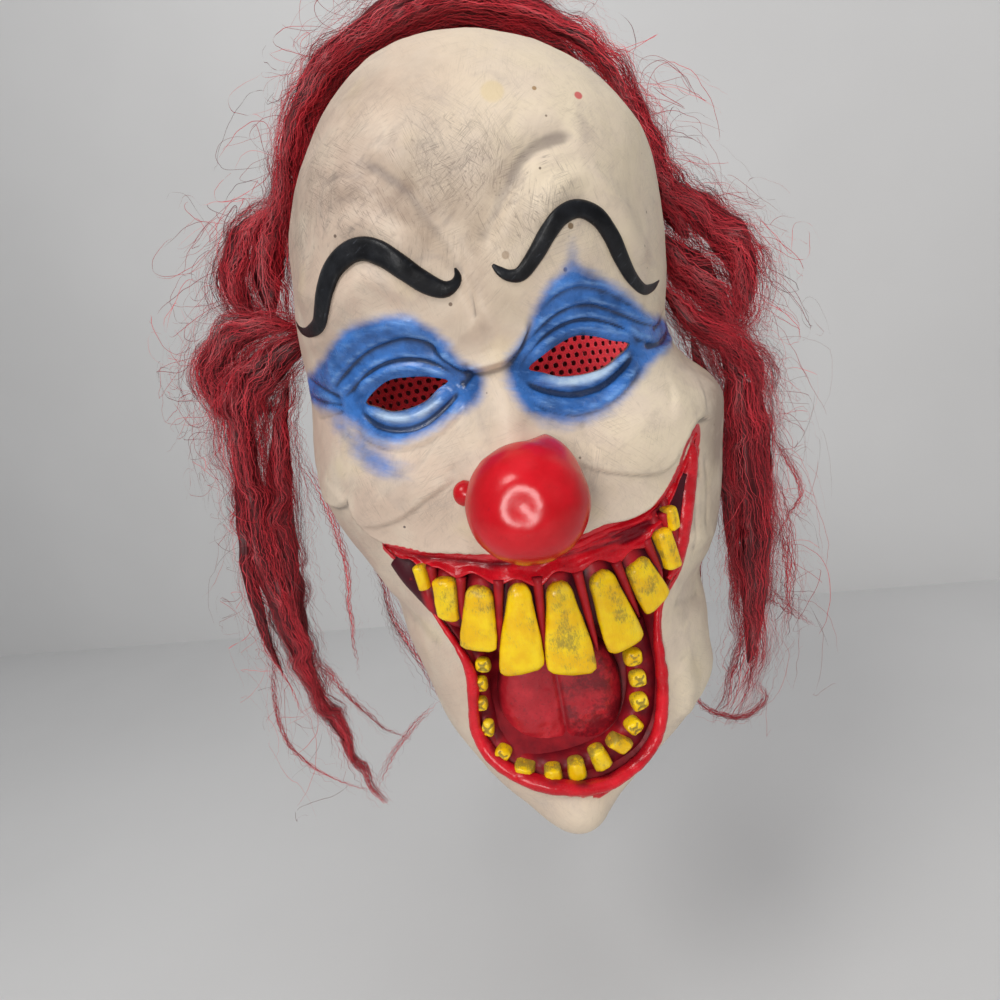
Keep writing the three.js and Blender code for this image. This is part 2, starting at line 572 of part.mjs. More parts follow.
// The lining of the mouth: a bowl that starts inside the mouth's edge and closes it behind.
const bowlRings = [0, 0.14, 0.34, 0.7];
const bowlDepth = (share) => mouthDepth * THREE.MathUtils.smoothstep(share, -0.05, 0.34) + latex / 2;
function bowlSolid(inset, front, back) {
  const middle = new THREE.Vector2(mouthMiddle[0] * halfWidth, -mouthMiddle[1] * maskHeight);
  const net = (behind) => bowlRings.map((share) => Array.from({ length: mouthPoints }, (_, k) => {
    const edge = mouthAt((k / mouthPoints) * mouthEdge.length, inset);
    const { x, y: z } = edge.lerp(middle, share);
    const p = seenAt(x, z, 0);
    return p.setY(p.y + bowlDepth(share) + behind);
  }));
  return ringSolid([...net(back).reverse(), ...net(front)]);
}
const lining = bowlSolid(gap, 0, latex);
const fillBehind = 20; // what is trimmed by the bowl is also trimmed this far behind it
const liningRoom = bowlSolid(gap, -gap, latex + fillBehind).add(bowlSolid(0, 0, latex + fillBehind));

// A gum ridge along a table of places.
function gumSolid(table, behind, outward, extra) {
  const stations = 11;
  const path = [];
  const tall = [];
  for (let k = 0; k <= stations; k++) {
    const [across, down, half] = through(table, (k / stations) * (table.length - 1));
    const [x, z] = [across - mouthMiddle[0], down - mouthMiddle[1]].map((v) => v * outward);
    const p = seenShare(mouthMiddle[0] + x, mouthMiddle[1] + z, 0);
    path.push(p.setY(p.y + behind));
    tall.push(half * maskHeight + extra);
  }
  return tubeSolid(path, tall, tall.map(() => gumDepth + extra), 6);
}
const upperGumBehind = 7.5; // centres of the gums behind the face
const lowerGumBehind = 12;
const lowerGumOutward = 0.97; // under 1 draws the lower gum in from its table's line
const gumPieces = (extra) => [
  gumSolid(upperGum, upperGumBehind, 1, extra),
  gumSolid(lowerGum, lowerGumBehind, lowerGumOutward, extra),
];
const mouthWay = prismSolid(mouthOutline(gap), cutFront, cutBack); // gums and teeth stay within the opening
const [upperGumSolid, lowerGumSolid] = gumPieces(0).map((gum) =>
  gum.intersect(mouthWay).subtract(liningRoom));
const upperLip = lipSolid(upperLipSpan, upperLipThick, 0).subtract(faceCore);
const lowerLip = lipSolid(lowerLipSpan, lowerLipThick, 0).subtract(faceCore);

// A tooth: rounded rings from the gum to the bite, narrower at the gum.
const toothRings = [
  { at: 0, wide: 0.6, deep: 0.6 }, { at: 0.15, wide: 0.95, deep: 0.95 },
  { at: 0.85, wide: 1, deep: 0.9 }, { at: 1, wide: 0.65, deep: 0.5 },
];
function toothSolid(tooth, depth, behind, points) {
  const middle = seenShare(tooth.across, tooth.down, 0);
  const edge = seenShare(tooth.across + 0.02, tooth.down, 0);
  const yaw = Math.atan2(edge.y - middle.y, edge.x - middle.x); // the tooth faces out like the jaw behind it
  const long = tooth.long * maskHeight;
  middle.y += behind;
  const rings = toothRings.map((ring) => {
    const share = tooth.gumWide + (tooth.biteWide - tooth.gumWide) * ring.at;
    const wide = 0.5 * share * halfWidth * ring.wide;
    return Array.from({ length: points }, (_, k) => {
      const angle = (2 * Math.PI * k) / points;
      const p = new THREE.Vector3(wide * Math.cos(angle), depth * ring.deep * Math.sin(angle),
          (0.5 - ring.at) * long);
      p.applyAxisAngle(new THREE.Vector3(0, 1, 0), tooth.lean * degrees);
      p.applyAxisAngle(new THREE.Vector3(0, 0, 1), yaw);
      return p.add(middle);
    });
  });
  return ringSolid(rings);
}
const upperToothBehind = -1.5; // middles of the teeth behind the face
const lowerToothBehind = 3;
const mouthRoom = gumPieces(gap).reduce((room, gum) => room.add(gum), liningRoom.add(faceRoom).add(lipRoom));
const upperToothSolids = upperTeeth.map((t) =>
  toothSolid(t, toothDepth, upperToothBehind, 7).subtract(mouthRoom));
const lowerToothSolids = lowerTeeth.map((t) => {
  const wide = { ...t, gumWide: t.wide, biteWide: t.wide };
  return toothSolid(wide, 0.55 * t.wide * halfWidth, lowerToothBehind, 6).subtract(mouthRoom);
});

// The tongue: a low dome on the floor of the mouth, parted down the middle.
function tongueSolid() {
  const across = 8;
  const down = 6;
  const net = (top) => Array.from({ length: down + 1 }, (_, i) => {
    return Array.from({ length: across + 1 }, (_, j) => {
      const u = (2 * j) / across - 1;
      const v = (2 * i) / down - 1;
      // A square net squeezed into a rounded outline
      const x = u * Math.sqrt(1 - 0.4 * v * v);
      const z = v * Math.sqrt(1 - 0.4 * u * u);
      const dome = Math.sqrt(Math.max(0, 1 - u ** 4)) * Math.sqrt(Math.max(0, 1 - v ** 4));
      const parting = 1 - 0.35 * Math.exp(-((x / 0.1) ** 2));
      const p = seenShare(tongue.across + x * tongue.wide, tongue.down + z * tongue.tall, 0);
      return p.setY(p.y + mouthDepth + latex / 2 - gap - (top ? 0.2 + tongueHeight * dome * parting : -latex / 2));
    });
  });
  return slabSolid(net(true), net(false)).subtract(mouthRoom);
}

// The nose: a ball with a peak that runs up the bridge, and a small wing on each side.
function noseSolid() {
  const at = { across: 0.032, down: 0.53 };
  const seat = seenShare(at.across, at.down, 0);
  const faceY = -earAhead - maskDepth * 0.95;
  const centre = new THREE.Vector3(seat.x, faceY - noseAhead, seat.z);
  const radius = noseSize / 2;
  const rings = 7;
  const points = 12;
  const ball = (size) => ringSolid(Array.from({ length: rings }, (_, i) => {
    const polar = (Math.PI * (i + 0.5)) / rings;
    return Array.from({ length: points }, (_, k) => {
      const angle = (2 * Math.PI * k) / points;
      const ring = size * Math.sin(polar);
      const p = new THREE.Vector3(ring * Math.cos(angle), ring * Math.sin(angle), size * Math.cos(polar));
      return p.add(centre);
    });
  }));
  const peak = seenShare(0.12, 0.474, 0);
  const path = [0, 0.5, 1].map((s) => centre.clone().lerp(peak, s));
  const peakSolid = tubeSolid(path, [0.8, 0.62, 0.1].map((s) => s * radius), [0.8, 0.5,
      0.1].map((s) => s * radius), 10);
  const wing = (across, size) => {
    const p = seenShare(across, 0.528, 2);
    return tubeSolid([-1, -0.4, 0.4, 1].map((s) => new THREE.Vector3(p.x, p.y, p.z + s * size)),
      [0.4, 0.95, 0.95, 0.4].map((s) => s * size), [0.4, 0.95, 0.95, 0.4].map((s) => s * size), 8);
  };
  // The ball is hollow like the rest of the casting, open towards the face behind it.
  const hollow = ball(radius - latex);
  return ball(radius).add(peakSolid).subtract(hollow).add(wing(-0.215, 5.5))
    .add(wing(0.24, 5.5)).subtract(faceCore);
}

// A lock of hair from its root to its widest place and down to its tip, waving a little.
const hairWave = 4;
function lockSolid(root, bulge, tip, thick, wave, extra) {
  const curve = new THREE.CatmullRomCurve3([root, bulge, bulge.clone().lerp(tip, 0.5), tip]);
  const stations = 7;
  const path = [];
  const across = [];
  for (let k = 0; k <= stations; k++) {
    const s = k / stations;
    const p = curve.getPointAt(s);
    p.x += wave * hairWave * Math.sin(3 * Math.PI * s);
    path.push(p);
    across.push(thick * (s < 0.5 ? 0.5 + s : 1 - 2.6 * (s - 0.5) ** 2) + extra);
  }
  return tubeSolid(path, across, across.map((v) => 0.8 * v), lockSides);
}

// The bunch of hair at one side.
function sideHair(side, extra) {
  const locks = sideLocks.filter((lock) => lock.side === side);
  return wasm.Manifold.union(locks.map((lock, i) => {
    const place = (out, rear, fall) => new THREE.Vector3(side * out, -earAhead + rear, -fall);
    const [across, back, down] = lock.root;
    const root = place(across * halfWidth, back * capDepth, down * maskHeight);
    const bulge = place(lock.out * hairSpread, lock.rear * hairBack, lock.fall * hairDrop);
    const tip = place(lock.tip[0] * hairSpread, lock.tip[1] * hairBack, lock.tip[2] * hairDrop);
    return lockSolid(root, bulge, tip, lock.thick * hairThick, i % 2 ? 1 : -1, extra);
  }));
}

// The roll of hair that stands up behind the top edge of the face, from ear to ear.
function topHair(extra) {
  const stations = 14;
  const reach = 0.88; // share of the way round to each side
  const behind = 1.4; // row of the cap that it stands on
  const path = [];
  const across = [];
  for (let k = 0; k <= stations; k++) {
    path.push(capPoint(reach * ((2 * k) / stations - 1), behind, 0.8 * hairThick));
    across.push(hairThick * (1.15 + 0.12 * Math.sin(2.6 * k)) + extra);
  }
  return tubeSolid(path, across, across, lockSides);
}

// The hair behind: a band round the cap with locks that hang from it.
function backHair(extra) {
  const bandRow = 3.6;
  const reach = 0.72;
  const stations = 10;
  const band = Array.from({ length: stations + 1 }, (_, k) => {
    return capPoint(reach * ((2 * k) / stations - 1), bandRow, 0.2 * hairThick);
  });
  const thick = band.map(() => 0.5 * hairThick + extra);
  const tall = band.map(() => 0.9 * hairThick + extra);
  const solids = [tubeSolid(band, thick, tall, lockSides, new THREE.Vector3(0, 0, 1))];
  backLocks.forEach((lock, i) => {
    const root = capPoint(0.66 * lock.across, bandRow, 0.2 * hairThick);
    const rear = hairBack * (0.98 - 0.14 * Math.abs(lock.across));
    const place = (share, fall) => {
      return new THREE.Vector3(share * lock.across * halfWidth, share * rear - earAhead, -fall * hairDrop);
    };
    solids.push(lockSolid(root, place(1, 0.45), place(0.9, lock.fall), hairThick, i % 2 ? 1 : -1, extra));
  });
  return wasm.Manifold.union(solids);
}

const headRoom = capCore.add(faceCore);
const backSolid = backHair(0).subtract(headRoom);
const backRoom = headRoom.add(backHair(gap));
const topSolid = topHair(0).subtract(backRoom);
const sideRoom = backRoom.add(topHair(gap));
const sideSolid = (side) => sideHair(side, 0).subtract(sideRoom);

// Finishes
const finishes = {
  skin: { color: 0xd9cfbd, roughness: 0.55, metalness: 0 },
  black: { color: 0x14151a, roughness: 0.4, metalness: 0 },
  red: { color: 0xc0121c, roughness: 0.3, metalness: 0 },
  gum: { color: 0x5c0d18, roughness: 0.35, metalness: 0 },
  tooth: { color: 0xe8c400, roughness: 0.35, metalness: 0 },
  tongue: { color: 0xb01522, roughness: 0.35, metalness: 0 },
  net: { color: 0xa5141f, roughness: 0.8, metalness: 0 },
  hair: { color: 0x7d1420, roughness: 0.6, metalness: 0 },
};

const mask = new THREE.Group();
function addPiece(name, solid, finish) {
  const { vertProperties, triVerts } = bodyOf(solid).getMesh();
  const geometry = new THREE.BufferGeometry();
  geometry.setAttribute("position", new THREE.Float32BufferAttribute(vertProperties, 3));
  geometry.setIndex([...triVerts]);
  const piece = new THREE.Mesh(geometry, new THREE.MeshStandardMaterial(finishes[finish]));
  piece.name = name;
  mask.add(piece);
}

addPiece("face", face, "skin");
addPiece("mesh_cap", cap, "net");
brows.forEach((brow) => addPiece(brow.name, browSolid(brow.path), "black"));
addPiece("nose", noseSolid(), "red");
addPiece("upper_lip", upperLip, "red");
addPiece("lower_lip", lowerLip, "red");
addPiece("mouth_lining", lining, "gum");
addPiece("upper_gum", upperGumSolid, "gum");
addPiece("lower_gum", lowerGumSolid, "gum");
addPiece("tongue", tongueSolid(), "tongue");
upperToothSolids.forEach((solid, i) => addPiece("upper_tooth_" + (i + 1), solid, "tooth"));
lowerToothSolids.forEach((solid, i) => addPiece("lower_tooth_" + (i + 1), solid, "tooth"));
addPiece("hair_top", topSolid, "hair");
addPiece("hair_left", sideSolid(-1), "hair");
addPiece("hair_right", sideSolid(1), "hair");
addPiece("hair_back", backSolid, "hair");

export default mask;
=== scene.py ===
import math
import bpy
import numpy as np
from functools import cache
from mathutils import Matrix, Vector
from mathutils.kdtree import KDTree


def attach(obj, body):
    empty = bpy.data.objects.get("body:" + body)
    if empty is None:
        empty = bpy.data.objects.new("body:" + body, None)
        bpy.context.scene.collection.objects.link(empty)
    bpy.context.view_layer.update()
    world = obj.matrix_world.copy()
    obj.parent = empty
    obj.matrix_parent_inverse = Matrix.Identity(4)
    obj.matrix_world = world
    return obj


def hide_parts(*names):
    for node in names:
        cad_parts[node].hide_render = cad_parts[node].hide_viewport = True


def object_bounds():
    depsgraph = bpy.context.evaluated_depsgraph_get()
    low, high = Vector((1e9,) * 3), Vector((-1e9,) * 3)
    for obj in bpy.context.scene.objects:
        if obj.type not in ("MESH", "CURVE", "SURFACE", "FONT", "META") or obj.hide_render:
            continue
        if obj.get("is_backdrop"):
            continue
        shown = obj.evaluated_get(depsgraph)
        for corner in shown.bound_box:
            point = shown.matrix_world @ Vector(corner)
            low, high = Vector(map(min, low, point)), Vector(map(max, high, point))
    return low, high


# A pull-on clown mask. Tables are in millimetres, and meshes are made in metres, in the model's frame.
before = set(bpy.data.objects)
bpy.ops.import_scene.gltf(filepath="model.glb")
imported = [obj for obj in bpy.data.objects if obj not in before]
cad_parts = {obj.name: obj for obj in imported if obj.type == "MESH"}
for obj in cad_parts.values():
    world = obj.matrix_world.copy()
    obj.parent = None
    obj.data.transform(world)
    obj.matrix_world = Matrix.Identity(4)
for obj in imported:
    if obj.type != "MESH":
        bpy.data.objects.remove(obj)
low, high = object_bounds()
cadBox = [list(low), list(high)]
print("frame loaded")

# The form of the head, as in the model
head = {"tall": 360, "half": 92, "deep": 98, "capDeep": 92, "earAhead": 10, "wall": 2.4, "relief": 10,
        "chinLift": 5.5, "chinFrom": 300, "chinTo": 362, "templeIn": 5.0}
mm = 0.001

# turn, drop, ahead, reach, left, right, round, wrap
faceRows = np.array([
    [90, 0.206, 0, 0.8, 0.76, 0.97, 2.0, 86], [62, 0.206, 0, 0.855, 0.8, 0.99, 2.05, 86],
    [38, 0.206, 0, 0.93, 0.87, 1.01, 2.1, 86], [16, 0.206, 0, 0.99, 0.94, 1.03, 2.2, 86],
    [0, 0.217, 0, 1.01, 0.98, 1.03, 2.25, 87], [0, 0.311, 0, 1.0, 1.0, 1.02, 2.3, 88],
    [0, 0.406, 0, 0.94, 1.01, 1.01, 2.3, 90], [0, 0.494, 0, 0.95, 1.05, 1.22, 2.3, 90],
    [0, 0.569, 0.02, 0.94, 1.0, 1.22, 2.3, 90], [0, 0.653, 0.08, 0.9, 0.85, 1.15, 2.3, 90],
    [0, 0.728, 0.16, 0.82, 0.76, 1.02, 2.3, 90], [0, 0.811, 0.27, 0.73, 0.66, 0.97, 2.3, 90],
    [0, 0.878, 0.37, 0.66, 0.58, 0.92, 2.2, 90], [-14, 0.916, 0.47, 0.58, 0.44, 0.62, 2.1, 88],
    [-38, 0.922, 0.52, 0.53, 0.3, 0.4, 1.9, 86], [-72, 0.922, 0.54, 0.33, 0.18, 0.22, 1.8, 84],
])
capRows = np.array([
    [78, 0.206, 0, 0.875, 0.775, 0.975, 2.0, 86], [92, 0.206, 0, 0.857, 0.765, 0.965, 2.0, 86],
    [126, 0.206, 0, 0.9, 0.84, 0.95, 2.05, 86], [158, 0.206, 0, 0.97, 0.92, 0.98, 2.15, 86],
    [180, 0.217, 0, 1.0, 0.98, 1.02, 2.2, 94], [180, 0.32, 0, 0.98, 1.0, 1.01, 2.25, 98],
    [180, 0.42, 0, 0.9, 0.99, 0.98, 2.25, 98], [180, 0.51, 0, 0.8, 0.94, 0.98, 2.2, 96],
])
# across, down, wide, tall, lean, rise
faceBumps = [
    (-0.46, 0.17, 0.3, 0.07, 0, 0.3), (0.5, 0.17, 0.3, 0.07, 0, 0.4), (0.02, 0.21, 0.13, 0.07, 0, -0.3),
    (0.0, 0.33, 0.13, 0.045, 0, 0.6), (-0.48, 0.28, 0.34, 0.035, 12, 0.65),
    (0.46, 0.265, 0.32, 0.045, -8, 0.65),
    (-0.4, 0.395, 0.3, 0.045, 0, -0.85), (0.4, 0.385, 0.32, 0.05, 0, -0.85),
    (-0.4, 0.403, 0.24, 0.03, 4, 0.55),
    (0.4, 0.398, 0.28, 0.033, -2, 0.55), (0.02, 0.44, 0.13, 0.06, 0, 1.1), (0.03, 0.53, 0.24, 0.05, 0, 1.5),
    (-0.58, 0.505, 0.3, 0.06, 20, 0.8), (0.66, 0.495, 0.3, 0.06, -20, 0.9), (1.08, 0.485, 0.12, 0.03, 0, 0.5),
    (-0.72, 0.7, 0.14, 0.03, 0, -0.35), (0.88, 0.735, 0.14, 0.03, 0, -0.5),
    (0.05, 0.985, 0.14, 0.035, 0, 0.7),
]


def through(rows, t, closed=False):
    rows = np.asarray(rows, float)
    n = len(rows)
    last = n if closed else n - 1
    t = np.mod(t, n) if closed else np.clip(t, 0, last)
    i = np.minimum(np.floor(t).astype(int), last - 1)
    w = (t - i)[..., None]
    a, b, c, d = [rows[(i + k) % n] if closed else rows[np.clip(i + k, 0, n - 1)] for k in (-1, 0, 1, 2)]
    return 0.5 * (2 * b + (c - a) * w + (2 * a - 5 * b + 4 * c - d) * w**2 + (3 * b - a - 3 * c + d) * w**3)


def headPoint(rows, depth, side, t):
    side, t = np.broadcast_arrays(side, t)
    turn, drop, ahead, reach, left, right, rounded, wrap = np.moveaxis(through(rows, t), -1, 0)
    angle = np.radians(side * wrap)
    half = head["half"] * (0.5 * (left + right) + 0.5 * (right - left) * np.tanh(4 * side))
    power = 2 / rounded
    x = half * np.sign(np.sin(angle)) * np.abs(np.sin(angle)) ** power
    r = np.where(np.cos(angle) < 0, -head["deep"], depth) * reach * np.abs(np.cos(angle)) ** power
    tilt = np.radians(turn)
    y = -head["earAhead"] - ahead * head["deep"] - r * np.cos(tilt)
    return np.stack([x, y, -drop * head["tall"] + r * np.sin(tilt)], -1)


def headNormal(rows, depth, side, t, step=0.01):
    across = headPoint(rows, depth, side + step, t) - headPoint(rows, depth, side - step, t)
    down = headPoint(rows, depth, side, t + step) - headPoint(rows, depth, side, t - step)
    return unit(np.cross(down, across))


def unit(v):
    return v / np.maximum(np.linalg.norm(v, axis=-1, keepdims=True), 1e-9)


def bumpsAt(x, z):
    rise = np.zeros(np.shape(x))
    for across, down, wide, tall, lean, high in faceBumps:
        dx, dz, a = x - across * head["half"], z + down * head["tall"], math.radians(lean)
        along = (dx * math.cos(a) + dz * math.sin(a)) / (wide * head["half"])
        over = (dz * math.cos(a) - dx * math.sin(a)) / (tall * head["tall"])
        rise = rise + high * np.exp(-along**2 - over**2)
    return rise * head["relief"]


def smooth(v, start=0.0, end=1.0):
    v = np.clip((v - start) / (end - start), 0, 1)
    return v * v * (3 - 2 * v)


def lumps(points, size, seed):
    # Soft random lumps of about this size, from -1 to 1.
    table = np.random.default_rng(seed).uniform(-1, 1, (32, 32, 32))
    p = np.asarray(points, float) / size
    cell = np.floor(p).astype(int)
    w = p - cell
    w = w * w * (3 - 2 * w)
    total = 0
    for corner in range(8):
        step = np.array([corner & 1, corner >> 1 & 1, corner >> 2])
        k = (cell + step) % 32
        share = np.prod(np.where(step, w, 1 - w), -1)
        total = total + share * table[k[..., 0], k[..., 1], k[..., 2]]
    return total


def curve(points, count, closed=False):
    rows = np.asarray(points, float)
    steps = np.linspace(0, len(rows) if closed else len(rows) - 1, 12 * len(rows))
    fine = through(rows, steps, closed)
    run = np.concatenate([[0], np.cumsum(np.linalg.norm(np.diff(fine, axis=0), axis=1))])
    want = np.linspace(0, run[-1], count + (1 if closed else 0))
    made = np.stack([np.interp(want, run, fine[:, k]) for k in range(fine.shape[1])], -1)
    return made[:-1] if closed else made


def awayFrom(line, x, z):
    # Distance, side (1 above a line that runs to the right) and share of the way along, for each point.
    best = np.full(np.shape(x), 1e9)
    sign = np.ones(np.shape(x))
    along = np.zeros(np.shape(x))
    run = np.concatenate([[0], np.cumsum(np.linalg.norm(np.diff(line, axis=0), axis=1))])
    for i in range(len(line) - 1):
        (ax, az), (bx, bz) = line[i], line[i + 1]
        dx, dz = bx - ax, bz - az
        s = np.clip(((x - ax) * dx + (z - az) * dz) / (dx * dx + dz * dz + 1e-9), 0, 1)
        px, pz = x - ax - s * dx, z - az - s * dz
        d = np.hypot(px, pz)
        near = d < best
        best = np.where(near, d, best)
        sign = np.where(near, np.where(dx * pz - dz * px > 0, 1.0, -1.0), sign)
        along = np.where(near, (run[i] + s * (run[i + 1] - run[i])) / run[-1], along)
    return best, sign, along


# Meshes and materials
def pieceFrom(name, points, faces, material, stands=(), marks=None, sharp=False, raised=True):
    mesh = bpy.data.meshes.new(name)
    points = np.array(points, float)
    if raised:
        points[:, 2] += head["chinLift"] * smooth(-points[:, 2], head["chinFrom"], head["chinTo"])
    mesh.from_pydata((points * mm).tolist(), [], faces)
    mesh.update()
    for mark, values in (marks or {}).items():
        mesh.attributes.new(mark, "FLOAT", "POINT").data.foreach_set("value", np.asarray(values, np.float32))
    if not sharp:
        mesh.shade_smooth()
    piece = bpy.data.objects.new(name, mesh)
    bpy.context.scene.collection.objects.link(piece)
    mesh.materials.append(material)
    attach(piece, "root")
    if stands:
        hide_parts(*stands)
    return piece


def gridFaces(rows, cols, start=0, around=False, flip=False):
    i, j = np.meshgrid(np.arange(rows - 1), np.arange(cols if around else cols - 1), indexing="ij")
    k = (j + 1) % cols
    quads = np.stack([i * cols + j, i * cols + k, (i + 1) * cols + k, (i + 1) * cols + j], -1).reshape(-1,
            4) + start
    return (quads[:, ::-1] if flip else quads).tolist()


def tube(rings):
    # Points and faces of a closed tube through rings of points, shape (rings, points, 3).
    count, n = rings.shape[:2]
    points = np.concatenate([rings.reshape(-1, 3), rings[0].mean(0)[None], rings[-1].mean(0)[None]])
    faces = gridFaces(count, n, around=True)
    first, last, end = count * n, count * n + 1, (count - 1) * n
    faces += [[first, (j + 1) % n, j] for j in range(n)]
    faces += [[last, end + j, end + (j + 1) % n] for j in range(n)]
    return points, faces


def slab(front, back):
    # Points and faces of a closed sheet between two nets of points, shape (rows, cols, 3).
    rows, cols = front.shape[:2]
    points = np.concatenate([front.reshape(-1, 3), back.reshape(-1, 3)])
    size = rows * cols
    faces = gridFaces(rows, cols) + gridFaces(rows, cols, size, flip=True)
    rim = [j for j in range(cols)] + [i * cols + cols - 1 for i in range(1, rows)]
    rim += [(rows - 1) * cols + j for j in range(cols - 2, -1, -1)] + [i * cols
            for i in range(rows - 2, 0, -1)]
    faces += [[a, a + size, b + size, b] for a, b in zip(rim, rim[1:] + rim[:1])]
    return points, faces


def outwardFirst(points, faces):
    # The faces, turned over where the solid came out inside out.
    points = np.asarray(points, float)
    volume = 0.0
    for face in faces:
        a = points[face[0]]
        for b, c in zip(face[1:-1], face[2:]):
            volume += np.dot(a, np.cross(points[b], points[c]))
    return faces if volume > 0 else [face[::-1] for face in faces]


def newMaterial(name, **values):
    material = bpy.data.materials.new(name)
    material.use_nodes = True
    shader = material.node_tree.nodes["Principled BSDF"]
    for socket, value in values.items():
        shader.inputs[socket.replace("_", " ")].default_value = value
    return material, material.node_tree, shader


def node(tree, kind, settings=None, out=0, **inputs):
    made = tree.nodes.new("ShaderNode" + kind)
    for key, value in (settings or {}).items():
        setattr(made, key, value)
    for key, value in inputs.items():
        byNumber = key[0] == "i" and key[1:].isdigit()
        socket = made.inputs[int(key[1:]) if byNumber else key.replace("_", " ")]
        if isinstance(value, bpy.types.NodeSocket):
            tree.links.new(value, socket)
        else:
            socket.default_value = value
    return made.outputs[out]


def place(tree, turn=(0, 0, 0), scale=(1, 1, 1)):
    coords = node(tree, "TexCoord", out=3)
    turned = node(tree, "Mapping", Vector=coords, Rotation=[math.radians(a) for a in turn])
    return node(tree, "Mapping", Vector=turned, Scale=scale)


def grain(tree, scale, detail=3.0, rough=0.5, where=None, twist=0.0):
    where = where or node(tree, "TexCoord", out=3)
    return node(tree, "TexNoise", Vector=where, Scale=scale, Detail=detail, Roughness=rough, Distortion=twist)


def between(tree, value, low, high, start=0.0, end=1.0):
    kind = {"interpolation_type": "SMOOTHSTEP"}
    return node(tree, "MapRange", kind, Value=value, i1=low, i2=high, i3=start, i4=end)


def maths(tree, way, a, b=0.0, clamp=False):
    return node(tree, "Math", {"operation": way, "use_clamp": clamp}, i0=a, i1=b)


def plus(tree, a, b, clamp=False):
    return maths(tree, "ADD", a, b, clamp)


def less(tree, a, b):
    return maths(tree, "SUBTRACT", a, b)


def times(tree, a, b, clamp=False):
    return maths(tree, "MULTIPLY", a, b, clamp)


def larger(tree, a, b):
    return maths(tree, "MAXIMUM", a, b)


def placeAlong(tree, axis):
    # the place along one axis of the frame, in metres
    return node(tree, "SeparateXYZ", out=axis, Vector=node(tree, "TexCoord", out=3))


def mix(tree, share, a, b, way="MIX"):
    a = (*a, 1) if isinstance(a, tuple) and len(a) == 3 else a
    b = (*b, 1) if isinstance(b, tuple) and len(b) == 3 else b
    return node(tree, "Mix", {"data_type": "RGBA", "blend_type": way}, out=2, i0=share, i6=a, i7=b)


def mark(tree, name):
    return node(tree, "Attribute", {"attribute_name": name}, out=2)


def bump(tree, shader, height, strength, distance):
    join(tree, node(tree, "Bump", Height=height, Strength=strength, Distance=distance), shader, "Normal")


def join(tree, value, shader, socket):
    tree.links.new(value, shader.inputs[socket])


# Camera, light and room
look = {"place": (-0.007, -0.398, -0.122), "pitch": 14, "roll": 10.5, "focalPixels": 722, "imagePixels": 1000,
        "sensor": 36}


def makeCamera():
    pitch, roll = math.radians(look["pitch"]), math.radians(look["roll"])
    ahead = Vector((0, math.cos(pitch), -math.sin(pitch)))
    right = Vector((1, 0, 0))
    up = Vector((0, math.sin(pitch), math.cos(pitch)))
    x = right * math.cos(roll) - up * math.sin(roll)
    y = right * math.sin(roll) + up * math.cos(roll)
    camera = bpy.data.objects.new("camera", bpy.data.cameras.new("camera"))
    camera.data.sensor_width = look["sensor"]
    camera.data.lens = look["focalPixels"] / look["imagePixels"] * look["sensor"]
    camera.data.clip_start, camera.data.clip_end = 0.01, 20
    turned = Matrix((x, y, -ahead)).transposed().to_4x4()
    camera.matrix_world = Matrix.Translation(look["place"]) @ turned
    bpy.context.scene.collection.objects.link(camera)
    bpy.context.scene.camera = camera


room = {"floor": -0.586, "wallAt": (-0.156, 0.719), "wallTurn": -14.9, "size": 5.0, "grey": 0.61,
        "skyColour": (0.93, 0.95, 1.0, 1), "skyStrength": 0.25}
lamps = [
    # name, place, aim, size, watts, colour, seen in shiny paint
    ("windowLight", (-0.66, -0.86, 0.98), (0, -0.05, -0.15), 0.6, 10.5, (1.0, 0.985, 0.96), True),
    ("frontLight", (-0.38, -1.45, 0.07), (0, -0.05, -0.2), 0.4, 7.8, (1.0, 0.98, 0.95), True),
    ("fillLight", (1.0, -1.1, 0.45), (0, -0.05, -0.2), 1.2, 5.0, (1.0, 0.96, 0.92), False),
    ("topLight", (0.1, -0.1, 1.15), (0, 0.05, -0.2), 1.0, 5.2, (1.0, 1.0, 1.0), False),
    ("capLight", (0.062, 0.01, -0.125), (0.062, 0.08, -0.14), 0.05, 0.02, (1.0, 0.95, 0.9), False),
]


def makeRoom():
    material, tree, shader = newMaterial("paleRoom", Roughness=0.75)
    tone = between(tree, grain(tree, 2.2, 3), 0.3, 0.7)
    join(tree, mix(tree, tone, (room["grey"],) * 3, (room["grey"] * 1.06,) * 3), shader, "Base Color")
    bump(tree, shader, grain(tree, 700, 3), 0.1, 0.0005)
    half = room["size"] / 2
    for name in ("floor", "backWall"):
        mesh = bpy.data.meshes.new(name)
        mesh.from_pydata([(-half, -half, 0), (half, -half, 0), (half, half, 0), (-half, half, 0)], [],
                         [(0, 1, 2, 3)])
        mesh.materials.append(material)
        board = bpy.data.objects.new(name, mesh)
        bpy.context.scene.collection.objects.link(board)
        if name == "floor":
            board.location = (0, 0, room["floor"])
        else:
            board.location = (*room["wallAt"], room["floor"] + half)
            board.rotation_euler = (math.radians(90), 0, math.radians(room["wallTurn"]))
        board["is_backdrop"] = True
    for name, spot, aim, size, watts, colour, shines in lamps:
        light = bpy.data.objects.new(name, bpy.data.lights.new(name, "AREA"))
        light.data.shape, light.data.size, light.data.energy, light.data.color = "DISK", size, watts, colour
        light.location = spot
        light.visible_glossy = shines
        light.rotation_euler = (Vector(aim) - Vector(spot)).to_track_quat("-Z", "Y").to_euler()
        bpy.context.scene.collection.objects.link(light)
    world = bpy.data.worlds.new("softRoom")
    world.use_nodes = True
    world.node_tree.nodes["Background"].inputs["Color"].default_value = room["skyColour"]
    world.node_tree.nodes["Background"].inputs["Strength"].default_value = room["skyStrength"]
    bpy.context.scene.world = world
    bpy.context.scene.view_settings.view_transform = "Standard"


